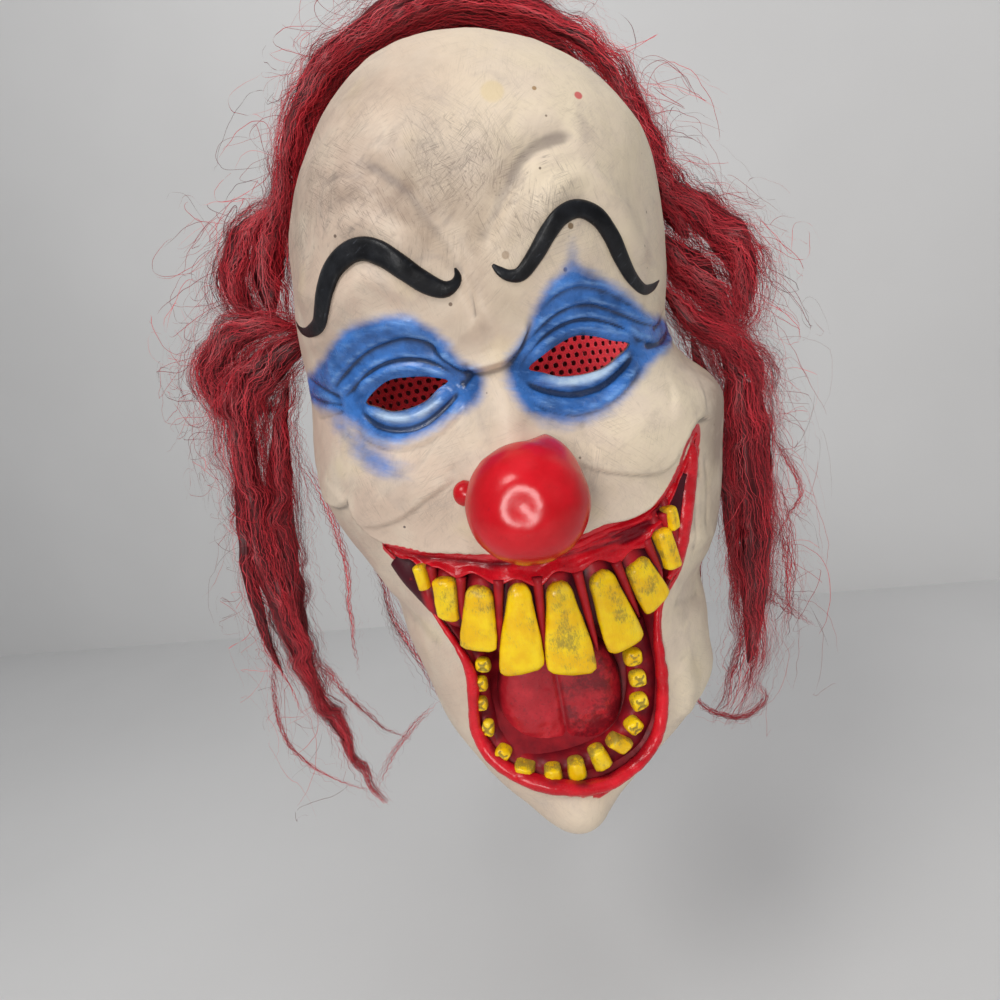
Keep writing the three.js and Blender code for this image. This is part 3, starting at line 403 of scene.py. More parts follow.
makeCamera()
makeRoom()
print("camera, light and room made")

# The latex face
eyeHoles = [
    [(-56, -147), (-50, -142), (-43, -139), (-36, -139), (-28, -140), (-19, -143), (-24, -146), (-30, -150),
     (-38, -152), (-45, -152), (-51, -149.5)],
    [(14, -144), (21, -140), (28, -137), (36, -135), (45, -137), (52, -140), (60, -143), (53, -147),
     (46, -150), (37, -151), (27, -150), (20, -147)],
]
mouthEdge = np.array([
    (-0.66, 0.58), (-0.33, 0.603), (0.0, 0.615), (0.37, 0.603), (0.65, 0.59), (0.82, 0.55), (0.9, 0.52),
    (0.87, 0.572), (0.76, 0.675), (0.6, 0.73), (0.56, 0.833), (0.46, 0.905), (0.24, 0.938), (-0.05, 0.925),
    (-0.3, 0.892), (-0.4, 0.839), (-0.37, 0.75), (-0.51, 0.664), (-0.61, 0.611),
]) * (head["half"], -head["tall"])
mouthMiddle = np.array([0.09 * head["half"], -0.7 * head["tall"]])

# Rolls, grooves and overhanging folds: kind, width or sharpness, height, and the line they follow.
folds = [
    # left eye, from the lid upwards, then below
    ("roll", 2.4, 2.4, [(-60, -143), (-52, -138), (-43, -135), (-33, -135), (-24, -138), (-16, -142)]),
    ("step", (1.3, 5), 3.0, [(-70, -145), (-59, -138.5), (-50, -133), (-40, -130), (-29, -131), (-21, -135),
                             (-13, -143)]),
    ("step", (1.3, 6), 2.6, [(-74, -142), (-62, -132.5), (-51, -125.5), (-41, -122.5), (-31, -122),
                             (-22, -126), (-15, -134)]),
    ("roll", 3.4, 1.7, [(-72, -134), (-62, -125), (-52, -119), (-42, -116.5), (-31, -117), (-21, -123)]),
    ("roll", 2.2, 2.6, [(-58, -148), (-50, -153), (-42, -155.5), (-34, -155), (-25, -151.5), (-18, -146.5)]),
    ("groove", 1.5, 1.5, [(-61, -148), (-52, -157), (-42, -160), (-31, -158.5), (-20, -152), (-13, -146)]),
    ("step", (1.3, 5), 1.9, [(-64, -156), (-54, -163.5), (-43, -167), (-30, -165), (-18, -158), (-12, -150)]),
    ("groove", 1.5, 1.3, [(-90, -131), (-79, -137.5), (-66, -145)]),
    ("groove", 1.5, 1.1, [(-90, -141), (-80, -144.5), (-66, -147)]),
    ("groove", 1.4, 0.8, [(-86, -153), (-76, -151), (-66, -149)]),
    ("groove", 1.8, 1.6, [(-15, -147), (-10, -142), (-9, -136)]),
    # right eye
    ("roll", 2.4, 2.6, [(11, -142), (19, -137), (27, -133), (36, -131.5), (46, -133), (56, -138),
                        (64, -143)]),
    ("step", (1.3, 5), 3.0, [(8, -144), (15, -136.5), (24, -130.5), (34, -127.5), (44, -128.5), (55, -134),
                             (64, -141), (76, -146)]),
    ("step", (1.3, 5), 2.7, [(12, -134), (22, -126.5), (32, -122), (43, -122), (54, -127), (66, -134),
                             (80, -139)]),
    ("step", (1.4, 6), 2.0, [(19, -123), (28, -116.5), (38, -114.5), (50, -118), (60, -124.5), (70, -131)]),
    ("roll", 2.0, 2.4, [(13, -147), (22, -151.5), (32, -154), (42, -153.5), (52, -149.5), (60, -145)]),
    ("groove", 1.5, 1.6, [(10, -147), (19, -154), (30, -158), (42, -157.5), (53, -152.5), (62, -146)]),
    ("step", (1.2, 5), 1.9, [(10, -153), (19, -161), (31, -165.5), (44, -164), (56, -157.5), (64, -150)]),
    ("groove", 1.5, 1.5, [(66, -145), (76, -146), (88, -142)]),
    ("groove", 1.4, 1.1, [(72, -140), (80, -137), (88, -131)]),
    ("roll", 2.4, 1.2, [(70, -150), (80, -149), (90, -144)]),
    # brow muscles, frown and nose root
    ("step", (1.8, 15), 4.8, [(-22, -125), (-19, -131), (-15, -136), (-10, -140), (-3, -141), (4, -140),
                              (9, -136), (13, -130), (18, -122)]),
    ("groove", 2.4, 1.3, [(-8, -97), (-5, -106), (-3, -116), (-1, -128), (0, -139)]),
    ("groove", 4.2, 2.3, [(-40, -55), (-30, -61), (-21, -71), (-15, -81), (-10, -90), (-7, -98), (-5, -108)]),
    ("roll", 3.2, 1.2, [(-52, -62), (-38, -66), (-27, -76), (-20, -87), (-15, -97)]),
    ("groove", 4.2, 2.2, [(50, -60), (38, -61.5), (27, -65), (17, -75), (10, -84), (5, -92), (2, -101)]),
    ("roll", 4.0, 1.0, [(44, -68), (31, -71), (22, -79), (15, -89), (9, -98)]),
    ("groove", 2.4, 0.9, [(-58, -62), (-46, -60), (-34, -66), (-24, -77), (-16, -90)]),
    ("roll", 7.0, 3.6, [(-80, -104), (-70, -99), (-60, -86), (-44, -78), (-30, -84), (-18, -96)]),
    ("roll", 6.0, 3.4, [(24, -96), (31, -84), (43, -77), (54, -84), (64, -104), (76, -111)]),
    ("roll", 4.0, 1.4, [(-84, -122), (-66, -116), (-52, -103), (-42, -99), (-30, -106), (-18, -118)]),
    # cheeks
    ("step", (0.8, 20), 4.2, [(-74, -183), (-71, -192), (-65, -202), (-59, -207), (-50, -211), (-39, -213.5),
                              (-27, -215), (-14, -218)]),
    ("step", (0.8, 18), 4.4, [(12, -218), (24, -216), (34, -214), (45, -215), (54, -213), (62, -208),
                              (68, -200), (73, -190), (77, -183), (84, -180), (92, -182), (98, -186)]),
    ("step", (0.7, 9), 1.5, [(22, -181), (30, -187), (40, -191.5), (52, -195), (62, -196), (69, -191),
                             (73, -184)]),
    ("step", (0.8, 9), 1.3, [(-70, -197), (-60, -197.5), (-49, -195), (-38, -189), (-27, -184), (-22, -180)]),
    ("groove", 2.8, 0.8, [(-25, -176), (-22, -184), (-24, -194)]),
    ("groove", 2.8, 0.8, [(30, -168), (34, -176), (32, -188)]),
    ("roll", 6.0, 1.8, [(70, -168), (80, -171), (90, -174)]),
    ("groove", 1.2, 1.6, [(82, -186), (84, -196), (84, -210)]),
    # jaw
    ("step", (1.2, 8), 3.0, [(-97, -180), (-92, -189), (-84, -192), (-76, -190), (-72, -184)]),
    ("groove", 4.0, 1.0, [(-46, -262), (-52, -259), (-60, -252)]),
    ("groove", 4.0, 1.3, [(64, -262), (72, -268), (84, -272)]),
    ("roll", 4.0, 1.6, [(74, -232), (84, -238), (92, -240)]),
    ("roll", 5.0, 1.8, [(62, -290), (66, -304), (60, -322)]),
    ("groove", 1.2, 0.9, [(88, -196), (89, -215), (85, -236)]),
    ("groove", 1.0, 0.8, [(80, -200), (80, -222), (76, -244)]),
]

# Paint edges on the face, as closed outlines
bluePaint = [
    [(-92, -140), (-86, -135), (-78, -132), (-68, -126), (-57, -119), (-46, -116), (-34, -116), (-26, -120),
     (-19, -127), (-15, -134), (-11, -139), (-7, -142), (-8, -148), (-13, -153), (-20, -155.5), (-28, -159),
     (-37, -161.5), (-46, -162), (-55, -158.5), (-62, -153), (-70, -148), (-80, -145)],
    [(7, -141), (13, -135), (18, -129), (23, -121), (30, -114), (40, -112), (51, -118), (60, -125),
     (70, -133), (82, -138), (88, -142), (84, -146), (74, -149), (66, -152), (56, -158), (45, -163),
     (32, -166), (20, -164), (12, -159), (8, -151)],
]
blueFades = [
    # place, reach, lean and strength of the soft edges
    (-55, -171, 15, 7, -30, 0.6), (-70, -157, 14, 6, -26, 0.4), (37, -106, 4.0, 12, -10, 0.45),
    (28, -170, 20, 5, 0, 0.25), (-84, -140, 8, 5, 0, 0.3),
]
lidRims = [[(-55, -149), (-48, -153), (-39, -155), (-30, -153.5), (-22, -148)],
           [(17, -147.5), (25, -151), (35, -152.5), (45, -151), (54, -146.5)]]
redEdges = [
    [(-60, -209.5), (-54, -211.5), (-48, -213), (-34, -216), (-14, -219.5)],
    [(8, -219), (24, -217.5), (36, -216), (48, -217), (58, -213), (66, -206), (72, -197), (77, -188),
     (84, -184), (83, -196), (80, -208), (74, -222)],
]


def insideOf(outline, x, z):
    # Signed distance to a closed outline, positive inside.
    line = curve(outline, 90, closed=True)
    ring = np.concatenate([line, line[:1]])
    d = awayFrom(ring, x, z)[0]
    inside = np.zeros(np.shape(x), bool)
    for (ax, az), (bx, bz) in zip(ring[:-1], ring[1:]):
        cross = (az > z) != (bz > z)
        inside ^= cross & (x < (bx - ax) * (z - az) / (bz - az + 1e-12) + ax)
    return np.where(inside, d, -d)


def foldHeight(x, z):
    total = np.zeros(np.shape(x))
    for kind, wide, height, line in folds:
        line = curve(line, 8 * len(line))
        reach = 3 * wide if kind != "step" else 3 * wide[1]
        close = (x > line[:, 0].min() - reach) & (x < line[:, 0].max() + reach)
        close &= (z > line[:, 1].min() - reach) & (z < line[:, 1].max() + reach)
        if not close.any():
            continue
        d, side, along = awayFrom(line, x[close], z[close])
        ends = smooth(along, 0, 0.16) * smooth(1 - along, 0, 0.16)
        if kind == "step":
            near, far = wide
            signed = d * side
            shape = smooth(signed, -near, near) * np.exp(-np.maximum(signed, 0) / far)
        else:
            shape = np.exp(-((d / wide) ** 2)) * (1 if kind == "roll" else -1)
        total[close] += height * ends * shape
    return total


def evenGrid(columns, stations, crowd=1.28):
    s = np.linspace(-1, 1, columns)
    return np.meshgrid(np.sign(s) * np.abs(s) ** crowd, stations)


faceNet = {"columns": 262, "rows": 330, "innerEvery": 4, "innerDeeper": 1.4}
stations = np.linspace(0, len(faceRows) - 1, 900)
middleLine = headPoint(faceRows, head["deep"], np.zeros(900), stations)
run = np.concatenate([[0], np.cumsum(np.linalg.norm(np.diff(middleLine, axis=0), axis=1))])
crowding = np.cumsum(np.interp(-middleLine[:, 2], [60, 95, 110, 220, 250], [0.8, 1.0, 1.75, 1.5, 1.0])
                     * np.gradient(run))
faceStations = np.interp(np.linspace(crowding[0], crowding[-1], faceNet["rows"]), crowding, stations)
sideNet, rowNet = evenGrid(faceNet["columns"], faceStations)


def gridNormals(points):
    down, across = np.gradient(points, axis=(0, 1))
    return unit(np.cross(down, across))


def narrowed(points):
    # The left temple stands a little further in than the rows give.
    pull = head["templeIn"] * smooth(-points[..., 0], 20, 80) * np.exp(-(((points[..., 2] + 62) / 62) ** 2))
    return points + pull[..., None] * (1, 0, 0)


plain = narrowed(headPoint(faceRows, head["deep"], sideNet, rowNet))
rise = bumpsAt(plain[..., 0], plain[..., 2])
skin = plain + headNormal(faceRows, head["deep"], sideNet, rowNet) * rise[..., None]
skinNormal = gridNormals(skin)
detail = foldHeight(skin[..., 0], skin[..., 2])
frontness = smooth(-skinNormal[..., 1], 0.1, 0.5)
detail = detail * frontness
detail += 0.5 * lumps(skin, 17, 3) + 0.22 * lumps(skin, 7, 4) + 0.08 * lumps(skin, 3, 5)
skin = skin + skinNormal * detail[..., None]
skinNormal = gridNormals(skin)
coarse = skin[::2, ::2][: int(0.9 * faceNet["rows"] / 2)]
coarseNormal = skinNormal[::2, ::2][: int(0.9 * faceNet["rows"] / 2)]
seen = (coarseNormal[..., 1] < -0.12) & (coarse[..., 1] < -20)
seenPoints, seenNormals = coarse[seen], coarseNormal[seen]
print("face form made")


def faceY(x, z):
    # Depth of the face's front at places seen from straight ahead.
    x, z = np.broadcast_arrays(np.asarray(x, float), np.asarray(z, float))
    flatX, flatZ = x.ravel(), z.ravel()
    made = np.empty(flatX.shape)
    for start in range(0, len(flatX), 400):
        px, pz = flatX[start:start + 400, None], flatZ[start:start + 400, None]
        d = (seenPoints[None, :, 0] - px) ** 2 + (seenPoints[None, :, 2] - pz) ** 2
        k = np.argpartition(d, 4, axis=1)[:, :4]
        near = np.take_along_axis(d, k, 1)
        n, p = seenNormals[k], seenPoints[k]
        slope = (n[..., 0] * (px - p[..., 0]) + n[..., 2] * (pz - p[..., 2])) / n[..., 1]
        y = p[..., 1] - np.clip(slope, -4, 4)
        w = 1 / (near + 0.05)
        made[start:start + 400] = (y * w).sum(1) / w.sum(1)
    return made.reshape(x.shape)


def onFace(x, z, lift=0.0):
    x, z = np.asarray(x, float), np.asarray(z, float)
    return np.stack([x, faceY(x, z) - lift, z], -1)


def blurred(values, reach):
    weights = np.hanning(2 * reach + 3)[1:-1]
    weights /= weights.sum()
    padded = np.pad(values, reach, mode="edge")
    padded = np.apply_along_axis(lambda v: np.convolve(v, weights, "valid"), 0, padded)
    return np.apply_along_axis(lambda v: np.convolve(v, weights, "valid"), 1, padded)


def patches(x, z, table):
    total = np.zeros(np.shape(x))
    for middleX, middleZ, wide, tall, amount in table:
        total = total + amount * np.exp(-(((x - middleX) / wide) ** 2) - ((z - middleZ) / tall) ** 2)
    return total


def faceMarks(points, cavity):
    # Where each paint lies, from the place seen from the front.
    x, z = points[..., 0], points[..., 2]
    blue = np.full(np.shape(x), -50.0)
    for outline in bluePaint:
        blue = np.maximum(blue, insideOf(outline, x, z))
    blueMark = smooth(blue, -8.5, 5)
    for fx, fz, wide, tall, lean, amount in blueFades:
        dx, dz, t = x - fx, z - fz, math.radians(lean)
        along = (dx * math.cos(t) + dz * math.sin(t)) / wide
        over = (dz * math.cos(t) - dx * math.sin(t)) / tall
        blueMark = blueMark + (1 - blueMark) * amount * np.exp(-along**2 - over**2)
    rim = np.zeros(np.shape(x))
    for i, line in enumerate(lidRims):
        d, _, along = awayFrom(curve(line, 40), x, z)
        rim = np.maximum(rim, np.exp(-((d / 1.8) ** 2)) * smooth(along, 0, 0.25) * smooth(1 - along, 0, 0.25)
                         * (0.75, 1.0)[i])
    red = np.zeros(np.shape(x))
    for line in redEdges:
        d = awayFrom(curve(line, 90), x, z)[0]
        red = np.maximum(red, smooth(2.6 - d, 0, 1.4))
    rimLine = curve(mouthEdge, 120, closed=True)
    red = np.maximum(red, smooth(1.9 - awayFrom(np.concatenate([rimLine, rimLine[:1]]), x, z)[0], 0, 1))
    red = np.where(points[..., 1] > -25, 0, red)
    return {
        "shade": patches(x, z, faceShades), "wear": 0.25 + patches(x, z, wornPatches),
        "speck": patches(x, z, speckPatches), "blue": blueMark, "rim": rim, "red": red,
        # the relief's hollows give painted shade, and its raised rolls give painted highlights
        "ridgeHighlight": np.clip(-cavity * 0.9, 0, 1.2), "washAndShade": np.clip(cavity, 0, 1.4),
    }


def agedCream(tree):
    # cream latex with stains, scratches and specks, darker towards the left side, with brownish patches that
    # are partly dirt and partly painted shade, and dark paint in its folds that is partly painted shade in
    # the hollows
    coords = node(tree, "TexCoord", out=3)
    # the cream runs darker towards the left side of the face
    acrossFace = between(tree, plus(tree, placeAlong(tree, 0), times(tree, grain(tree, 22, 4), 0.06)), -0.06,
                         0.09)
    cream = mix(tree, acrossFace, (0.60, 0.455, 0.365), (0.71, 0.605, 0.455))
    cream = mix(tree, between(tree, grain(tree, 34, 5, 0.6), 0.42, 0.66), cream, (0.67, 0.56, 0.445))
    cream = mix(tree, between(tree, grain(tree, 55, 4, 0.6, twist=0.6), 0.52, 0.75, 0, 0.55), cream,
                (0.50, 0.415, 0.35))
    cream = mix(tree, between(tree, grain(tree, 26, 2), 0.6, 0.72, 0, 0.35), cream, (0.70, 0.58, 0.36))
    wear = mark(tree, "wear")
    scratchSum = None
    families = [(38, 0.022, 0.0010), (-42, 0.02, 0.0009), (72, 0.024, 0.0010), (-72, 0.022, 0.0011),
                (12, 0.024, 0.0010)]
    for k, (lean, along, over) in enumerate(families):
        where = place(tree, (0, lean, 0), (1 / along, 12, 1 / over))
        fine = node(tree, "TexNoise", Vector=where, Scale=1.0, Detail=1.5, Roughness=0.6, Distortion=0.25)
        line = between(tree, maths(tree, "ABSOLUTE", less(tree, fine, 0.5)), 0.0, 0.02, 1.0, 0.0)
        patch = between(tree, grain(tree, 26 + 6 * k, 3, where=place(tree, (0, 40 * k + 15, 0))), 0.47, 0.6)
        line = times(tree, line, patch)
        scratchSum = line if scratchSum is None else larger(tree, scratchSum, line)
    scratch = times(tree, scratchSum, wear, clamp=True)
    smudge = times(tree, between(tree, grain(tree, 190, 5, 0.7, where=place(tree, (0, 35, 0), (0.35, 1, 1))),
                                 0.5, 0.75), wear, clamp=True)
    cream = mix(tree, times(tree, smudge, 0.5), cream, (0.25, 0.21, 0.185))
    cream = mix(tree, times(tree, scratch, 0.6), cream, (0.16, 0.135, 0.12))
    dots = node(tree, "TexVoronoi", {"feature": "F1"}, Vector=coords, Scale=620.0)
    specks = between(tree, dots, 0.12, 0.3, 1, 0)
    specks = times(tree, specks, times(tree, mark(tree, "speck"),
                                       between(tree, grain(tree, 160, 3), 0.45, 0.6)))
    cream = mix(tree, times(tree, specks, 0.7), cream, (0.2, 0.17, 0.15))
    rare = node(tree, "TexVoronoi", {"feature": "F1"}, Vector=coords, Scale=48.0)
    rareDots = between(tree, rare, 0.02, 0.035, 1, 0)
    cream = mix(tree, times(tree, rareDots, 0.75), cream, (0.10, 0.06, 0.035))
    for spot, size, colour in faceSpots:
        away = node(tree, "VectorMath", {"operation": "DISTANCE"}, out=1, i0=place(tree, scale=(1, 0.0, 1)),
                    i1=(spot[0] / 1000, 0, spot[1] / 1000))
        cream = mix(tree, between(tree, away, size * 0.0005, size * 0.00075, 0.85, 0), cream, colour)
    # painted shade mixed with dirt, in the brownish patches from the face's table
    shade = times(tree, mark(tree, "shade"), between(tree, grain(tree, 46, 6, 0.65), 0.3, 0.7, 0.4, 1.3),
                  clamp=True)
    cream = mix(tree, times(tree, shade, 0.85), cream, (0.30, 0.215, 0.165))
    # painted shade: the hollows of the relief are darkened, partly as dark paint laid in the folds
    washAndShade = between(tree, plus(tree, mark(tree, "washAndShade"), times(tree, grain(tree, 260, 4), 0.25)), 0.3, 1.15)
    cream = mix(tree, times(tree, washAndShade, 0.6), cream, (0.14, 0.11, 0.10))
    return cream, scratch


def eyePaint(tree):
    # brushed blue, thin at its edges, with pale rims under the eyes, dark navy in its creases that is partly
    # painted shade, and painted highlights along its raised rolls
    streaks = grain(tree, 1.0, 4, 0.65, where=place(tree, (0, -18, 0), (90, 60, 420)))
    blueMark = mark(tree, "blue")
    uneven = plus(tree, times(tree, streaks, 0.34), times(tree, grain(tree, 60, 5, 0.6), 0.4))
    cover = between(tree, less(tree, plus(tree, blueMark, uneven), 0.37), 0.14, 0.8)
    blue = mix(tree, between(tree, grain(tree, 70, 5, 0.6), 0.35, 0.68), (0.014, 0.078, 0.27),
               (0.045, 0.19, 0.58))
    blue = mix(tree, between(tree, streaks, 0.58, 0.75, 0, 0.5), blue, (0.16, 0.36, 0.8))
    # painted shade in the creases, partly a dark navy paint laid in them
    creaseShadeAndWash = between(tree, plus(tree, mark(tree, "washAndShade"), times(tree, grain(tree, 200, 5), 0.35)), 0.26,
                       0.95)
    blue = mix(tree, times(tree, creaseShadeAndWash, 0.85), blue, (0.006, 0.014, 0.045))
    # painted highlights: lighter blue along the raised rolls, partly dry-brushed paint
    brushed = times(tree, mark(tree, "ridgeHighlight"), between(tree, streaks, 0.4, 0.62), clamp=True)
    blue = mix(tree, times(tree, brushed, 0.58), blue, (0.27, 0.50, 0.90))
    rimCover = times(tree, mark(tree, "rim"), between(tree, grain(tree, 150, 3), 0.3, 0.6, 0.5, 1.0))
    blue = mix(tree, rimCover, blue, (0.52, 0.66, 0.80))
    return blue, cover


def latexMaterial():
    material, tree, shader = newMaterial("paintedLatex", Coat_Weight=0.08, Coat_Roughness=0.35)
    cream, scratch = agedCream(tree)
    blue, cover = eyePaint(tree)
    colour = mix(tree, cover, cream, blue)
    redCover = between(tree, plus(tree, mark(tree, "red"), times(tree, grain(tree, 330, 4), 0.5)), 0.55, 0.95)
    colour = mix(tree, redCover, colour, (0.55, 0.012, 0.022))
    join(tree, colour, shader, "Base Color")
    glossy = larger(tree, cover, redCover)
    rough = plus(tree, between(tree, glossy, 0, 1, 0.5, 0.2), times(tree, grain(tree, 120, 3), 0.14))
    join(tree, rough, shader, "Roughness")
    fine = less(tree, grain(tree, 420, 5, 0.6, where=place(tree, (0, 30, 0), (0.4, 1, 1))),
                times(tree, scratch, 0.7))
    bump(tree, shader, fine, 0.35, 0.0006)
    return material


# place, reach across and down, strength
wornPatches = [
    (-52, -66, 30, 26, 1.0), (-5, -70, 42, 24, 0.9), (20, -82, 22, 20, 0.6), (-45, -185, 28, 22, 0.35),
    (45, -176, 26, 18, 0.35),
]
speckPatches = [(2, -77, 26, 9, 1.0)]
# brownish patches, partly dirt and partly painted shade: the face's right edge and jaw are darkened as if
# turned from the light, with smudges on the forehead and round the brows
faceShades = [
    (-78, -48, 24, 36, 0.8), (-34, -64, 20, 16, 0.5), (-6, -72, 34, 20, 0.34), (-3, -96, 10, 16, 0.25),
    (0, -108, 7, 26, 0.45), (-12, -127, 12, 8, 0.32), (-52, -188, 30, 14, 0.22),
    (50, -200, 34, 12, 0.22), (-88, -150, 10, 34, 0.26), (104, -215, 16, 44, 0.85), (62, -88, 16, 10, 0.3),
    (-20, -82, 10, 16, 0.42),
    (16, -80, 9, 16, 0.38), (-60, -121, 26, 7, 0.25), (-84, -203, 12, 16, 0.12), (96, -262, 17, 26, 0.7),
    (108, -176, 13, 24, 0.9),
    (-24, -172, 8, 12, 0.26), (30, -170, 7, 10, 0.22), (-70, -96, 12, 10, 0.25), (84, -150, 12, 16, 0.26),
    (-52, -28, 28, 16, 0.4), (-14, -30, 30, 16, 0.36),
]
faceSpots = [
    # place, size, colour
    ((-51, -81), 1.0, (0.06, 0.04, 0.03)), ((30, -72), 0.8, (0.08, 0.05, 0.03)),
    ((38, -94), 1.8, (0.16, 0.09, 0.03)),
    ((-49, -200), 0.9, (0.03, 0.02, 0.03)), ((34, -109), 1.3, (0.1, 0.05, 0.02)),
    ((-12, -114), 1.2, (0.12, 0.07, 0.04)),
    ((34, -42), 1.4, (0.3, 0.17, 0.06)), ((12, -100), 2.4, (0.38, 0.28, 0.19)),
    ((51, -46), 2.6, (0.55, 0.05, 0.06)),
    ((18, -41), 7.0, (0.66, 0.53, 0.33)), ((-62, -100), 3.4, (0.66, 0.52, 0.30)),
]


def makeFace():
    rows, cols = skin.shape[:2]
    every = faceNet["innerEvery"]
    # how far the relief sinks below its surroundings; this gives the painted shade in the hollows and the
    # painted highlights on raised rolls
    cavity = (blurred(detail, 3) - detail) / 0.85 + (blurred(detail, 8) - detail) / 5.0
    marks = faceMarks(skin, cavity)
    inward = bumpsAt(plain[..., 0], plain[..., 2]) - head["wall"] - faceNet["innerDeeper"]
    inner = plain + headNormal(faceRows, head["deep"], sideNet, rowNet) * inward[..., None]
    r = np.unique(np.append(np.arange(0, rows, every), rows - 1))
    c = np.unique(np.append(np.arange(0, cols, every), cols - 1))
    small = inner[np.ix_(r, c)]
    points = np.concatenate([skin.reshape(-1, 3), small.reshape(-1, 3)])
    base = rows * cols
    faces = gridFaces(rows, cols, flip=True) + gridFaces(len(r), len(c), base)

    def rim(outerIndex, innerIndex, picks, flip):
        for a, b in zip(range(len(picks) - 1), range(1, len(picks))):
            face = [outerIndex(k) for k in range(picks[a], picks[b] + 1)] + [innerIndex(b), innerIndex(a)]
            faces.append(face if flip else face[::-1])

    rim(lambda k: k, lambda k: base + k, list(c), True)
    rim(lambda k: (rows - 1) * cols + k, lambda k: base + (len(r) - 1) * len(c) + k, list(c), False)
    rim(lambda k: k * cols, lambda k: base + k * len(c), list(r), False)
    rim(lambda k: k * cols + cols - 1, lambda k: base + k * len(c) + len(c) - 1, list(r), True)
    unpainted = np.zeros(small.shape[0] * small.shape[1])
    allMarks = {name: np.concatenate([values.ravel(), unpainted]) for name, values in marks.items()}
    piece = pieceFrom("latexFace", points, faces, latexMaterial(), ["face"])
    cutHoles(piece)
    markLike(piece, points, allMarks)


def cutHoles(piece):
    cutters = [curve(hole, 60, closed=True) for hole in eyeHoles] + [curve(mouthEdge, 200, closed=True)]
    for i, outline in enumerate(cutters):
        turn = np.roll(outline[:, 0], -1) * outline[:, 1] - outline[:, 0] * np.roll(outline[:, 1], -1)
        if turn.sum() > 0:
            outline = outline[::-1]
        n = len(outline)
        front, back = -220.0, (-40.0 if i < 2 else -12.0)
        points = [(x, front, z) for x, z in outline] + [(x, back, z) for x, z in outline]
        faces = [[k, (k + 1) % n, (k + 1) % n + n, k + n] for k in range(n)]
        faces += [list(range(n))[::-1], list(range(n, 2 * n))]
        faces = outwardFirst(points, faces)
        mesh = bpy.data.meshes.new("cutter")
        mesh.from_pydata((np.array(points) * mm).tolist(), [], faces)
        cutter = bpy.data.objects.new("cutter", mesh)
        bpy.context.scene.collection.objects.link(cutter)
        cut = piece.modifiers.new("hole", "BOOLEAN")
        cut.operation, cut.solver, cut.object = "DIFFERENCE", "MANIFOLD", cutter
        graph = bpy.context.evaluated_depsgraph_get()
        made = bpy.data.meshes.new_from_object(piece.evaluated_get(graph))
        piece.modifiers.clear()
        piece.data = made
        bpy.data.objects.remove(cutter)
    piece.data.shade_smooth()
    print("holes cut, face has", len(piece.data.polygons), "faces")


def markLike(piece, points, marks):
    # Carries marks over to the mesh as it is now, each corner from the nearest one before.
    tree = KDTree(len(points))
    for i, p in enumerate((points * mm).tolist()):
        tree.insert(p, i)
    tree.balance()
    nearest = np.array([tree.find(v.co)[1] for v in piece.data.vertices])
    for name, values in marks.items():
        old = piece.data.attributes.get(name)
        if old:
            piece.data.attributes.remove(old)
        carried = piece.data.attributes.new(name, "FLOAT", "POINT")
        carried.data.foreach_set("value", values[nearest].astype(np.float32))


makeFace()
print("face done")

# Painted pieces on and in the face
def glossPaint(name, light, dark, rough, scale, bumps, coat):
    material, tree, shader = newMaterial(name, Roughness=rough, Coat_Weight=coat, Coat_Roughness=0.12)
    tone = between(tree, grain(tree, scale, 5, 0.6), 0.35, 0.68)
    join(tree, mix(tree, tone, dark, light), shader, "Base Color")
    join(tree, plus(tree, times(tree, grain(tree, scale * 3, 3), 0.2), rough - 0.06), shader, "Roughness")
    bump(tree, shader, grain(tree, scale * 5, 4, 0.6), bumps, 0.0006)
    return material


brows = {
    "browLeft": ("brow_left", [(-85.5, -105, 0.35), (-83.5, -109.5, 1.1), (-79, -112.8, 2.0),
                               (-74, -113.5, 3.0), (-68, -111.5, 3.8), (-64, -106, 4.2), (-60, -99, 4.6),
                               (-55, -92.5, 4.9), (-48, -88.5, 5.1), (-41, -88, 5.1), (-34, -91.5, 5.0),
                               (-27, -98, 4.8), (-20, -104.5, 4.5), (-14, -108, 3.8), (-9.5, -107.3, 2.6),
                               (-7.3, -104.5, 1.7), (-7.8, -100.8, 0.5)]),
    "browRight": ("brow_right", [(80, -119, 0.5), (75, -121.5, 1.9), (69, -121.5, 2.7), (63, -116, 3.3),
                                 (58, -108, 3.6), (54, -99.5, 3.8), (49, -92, 4.0), (42, -88.3, 4.1),
                                 (35, -90, 4.1), (29, -95, 4.0), (23.5, -101.5, 3.8), (17, -107.5, 3.4),
                                 (12, -107.5, 2.7), (8.5, -105, 1.9), (6.5, -102.5, 0.7)]),
}


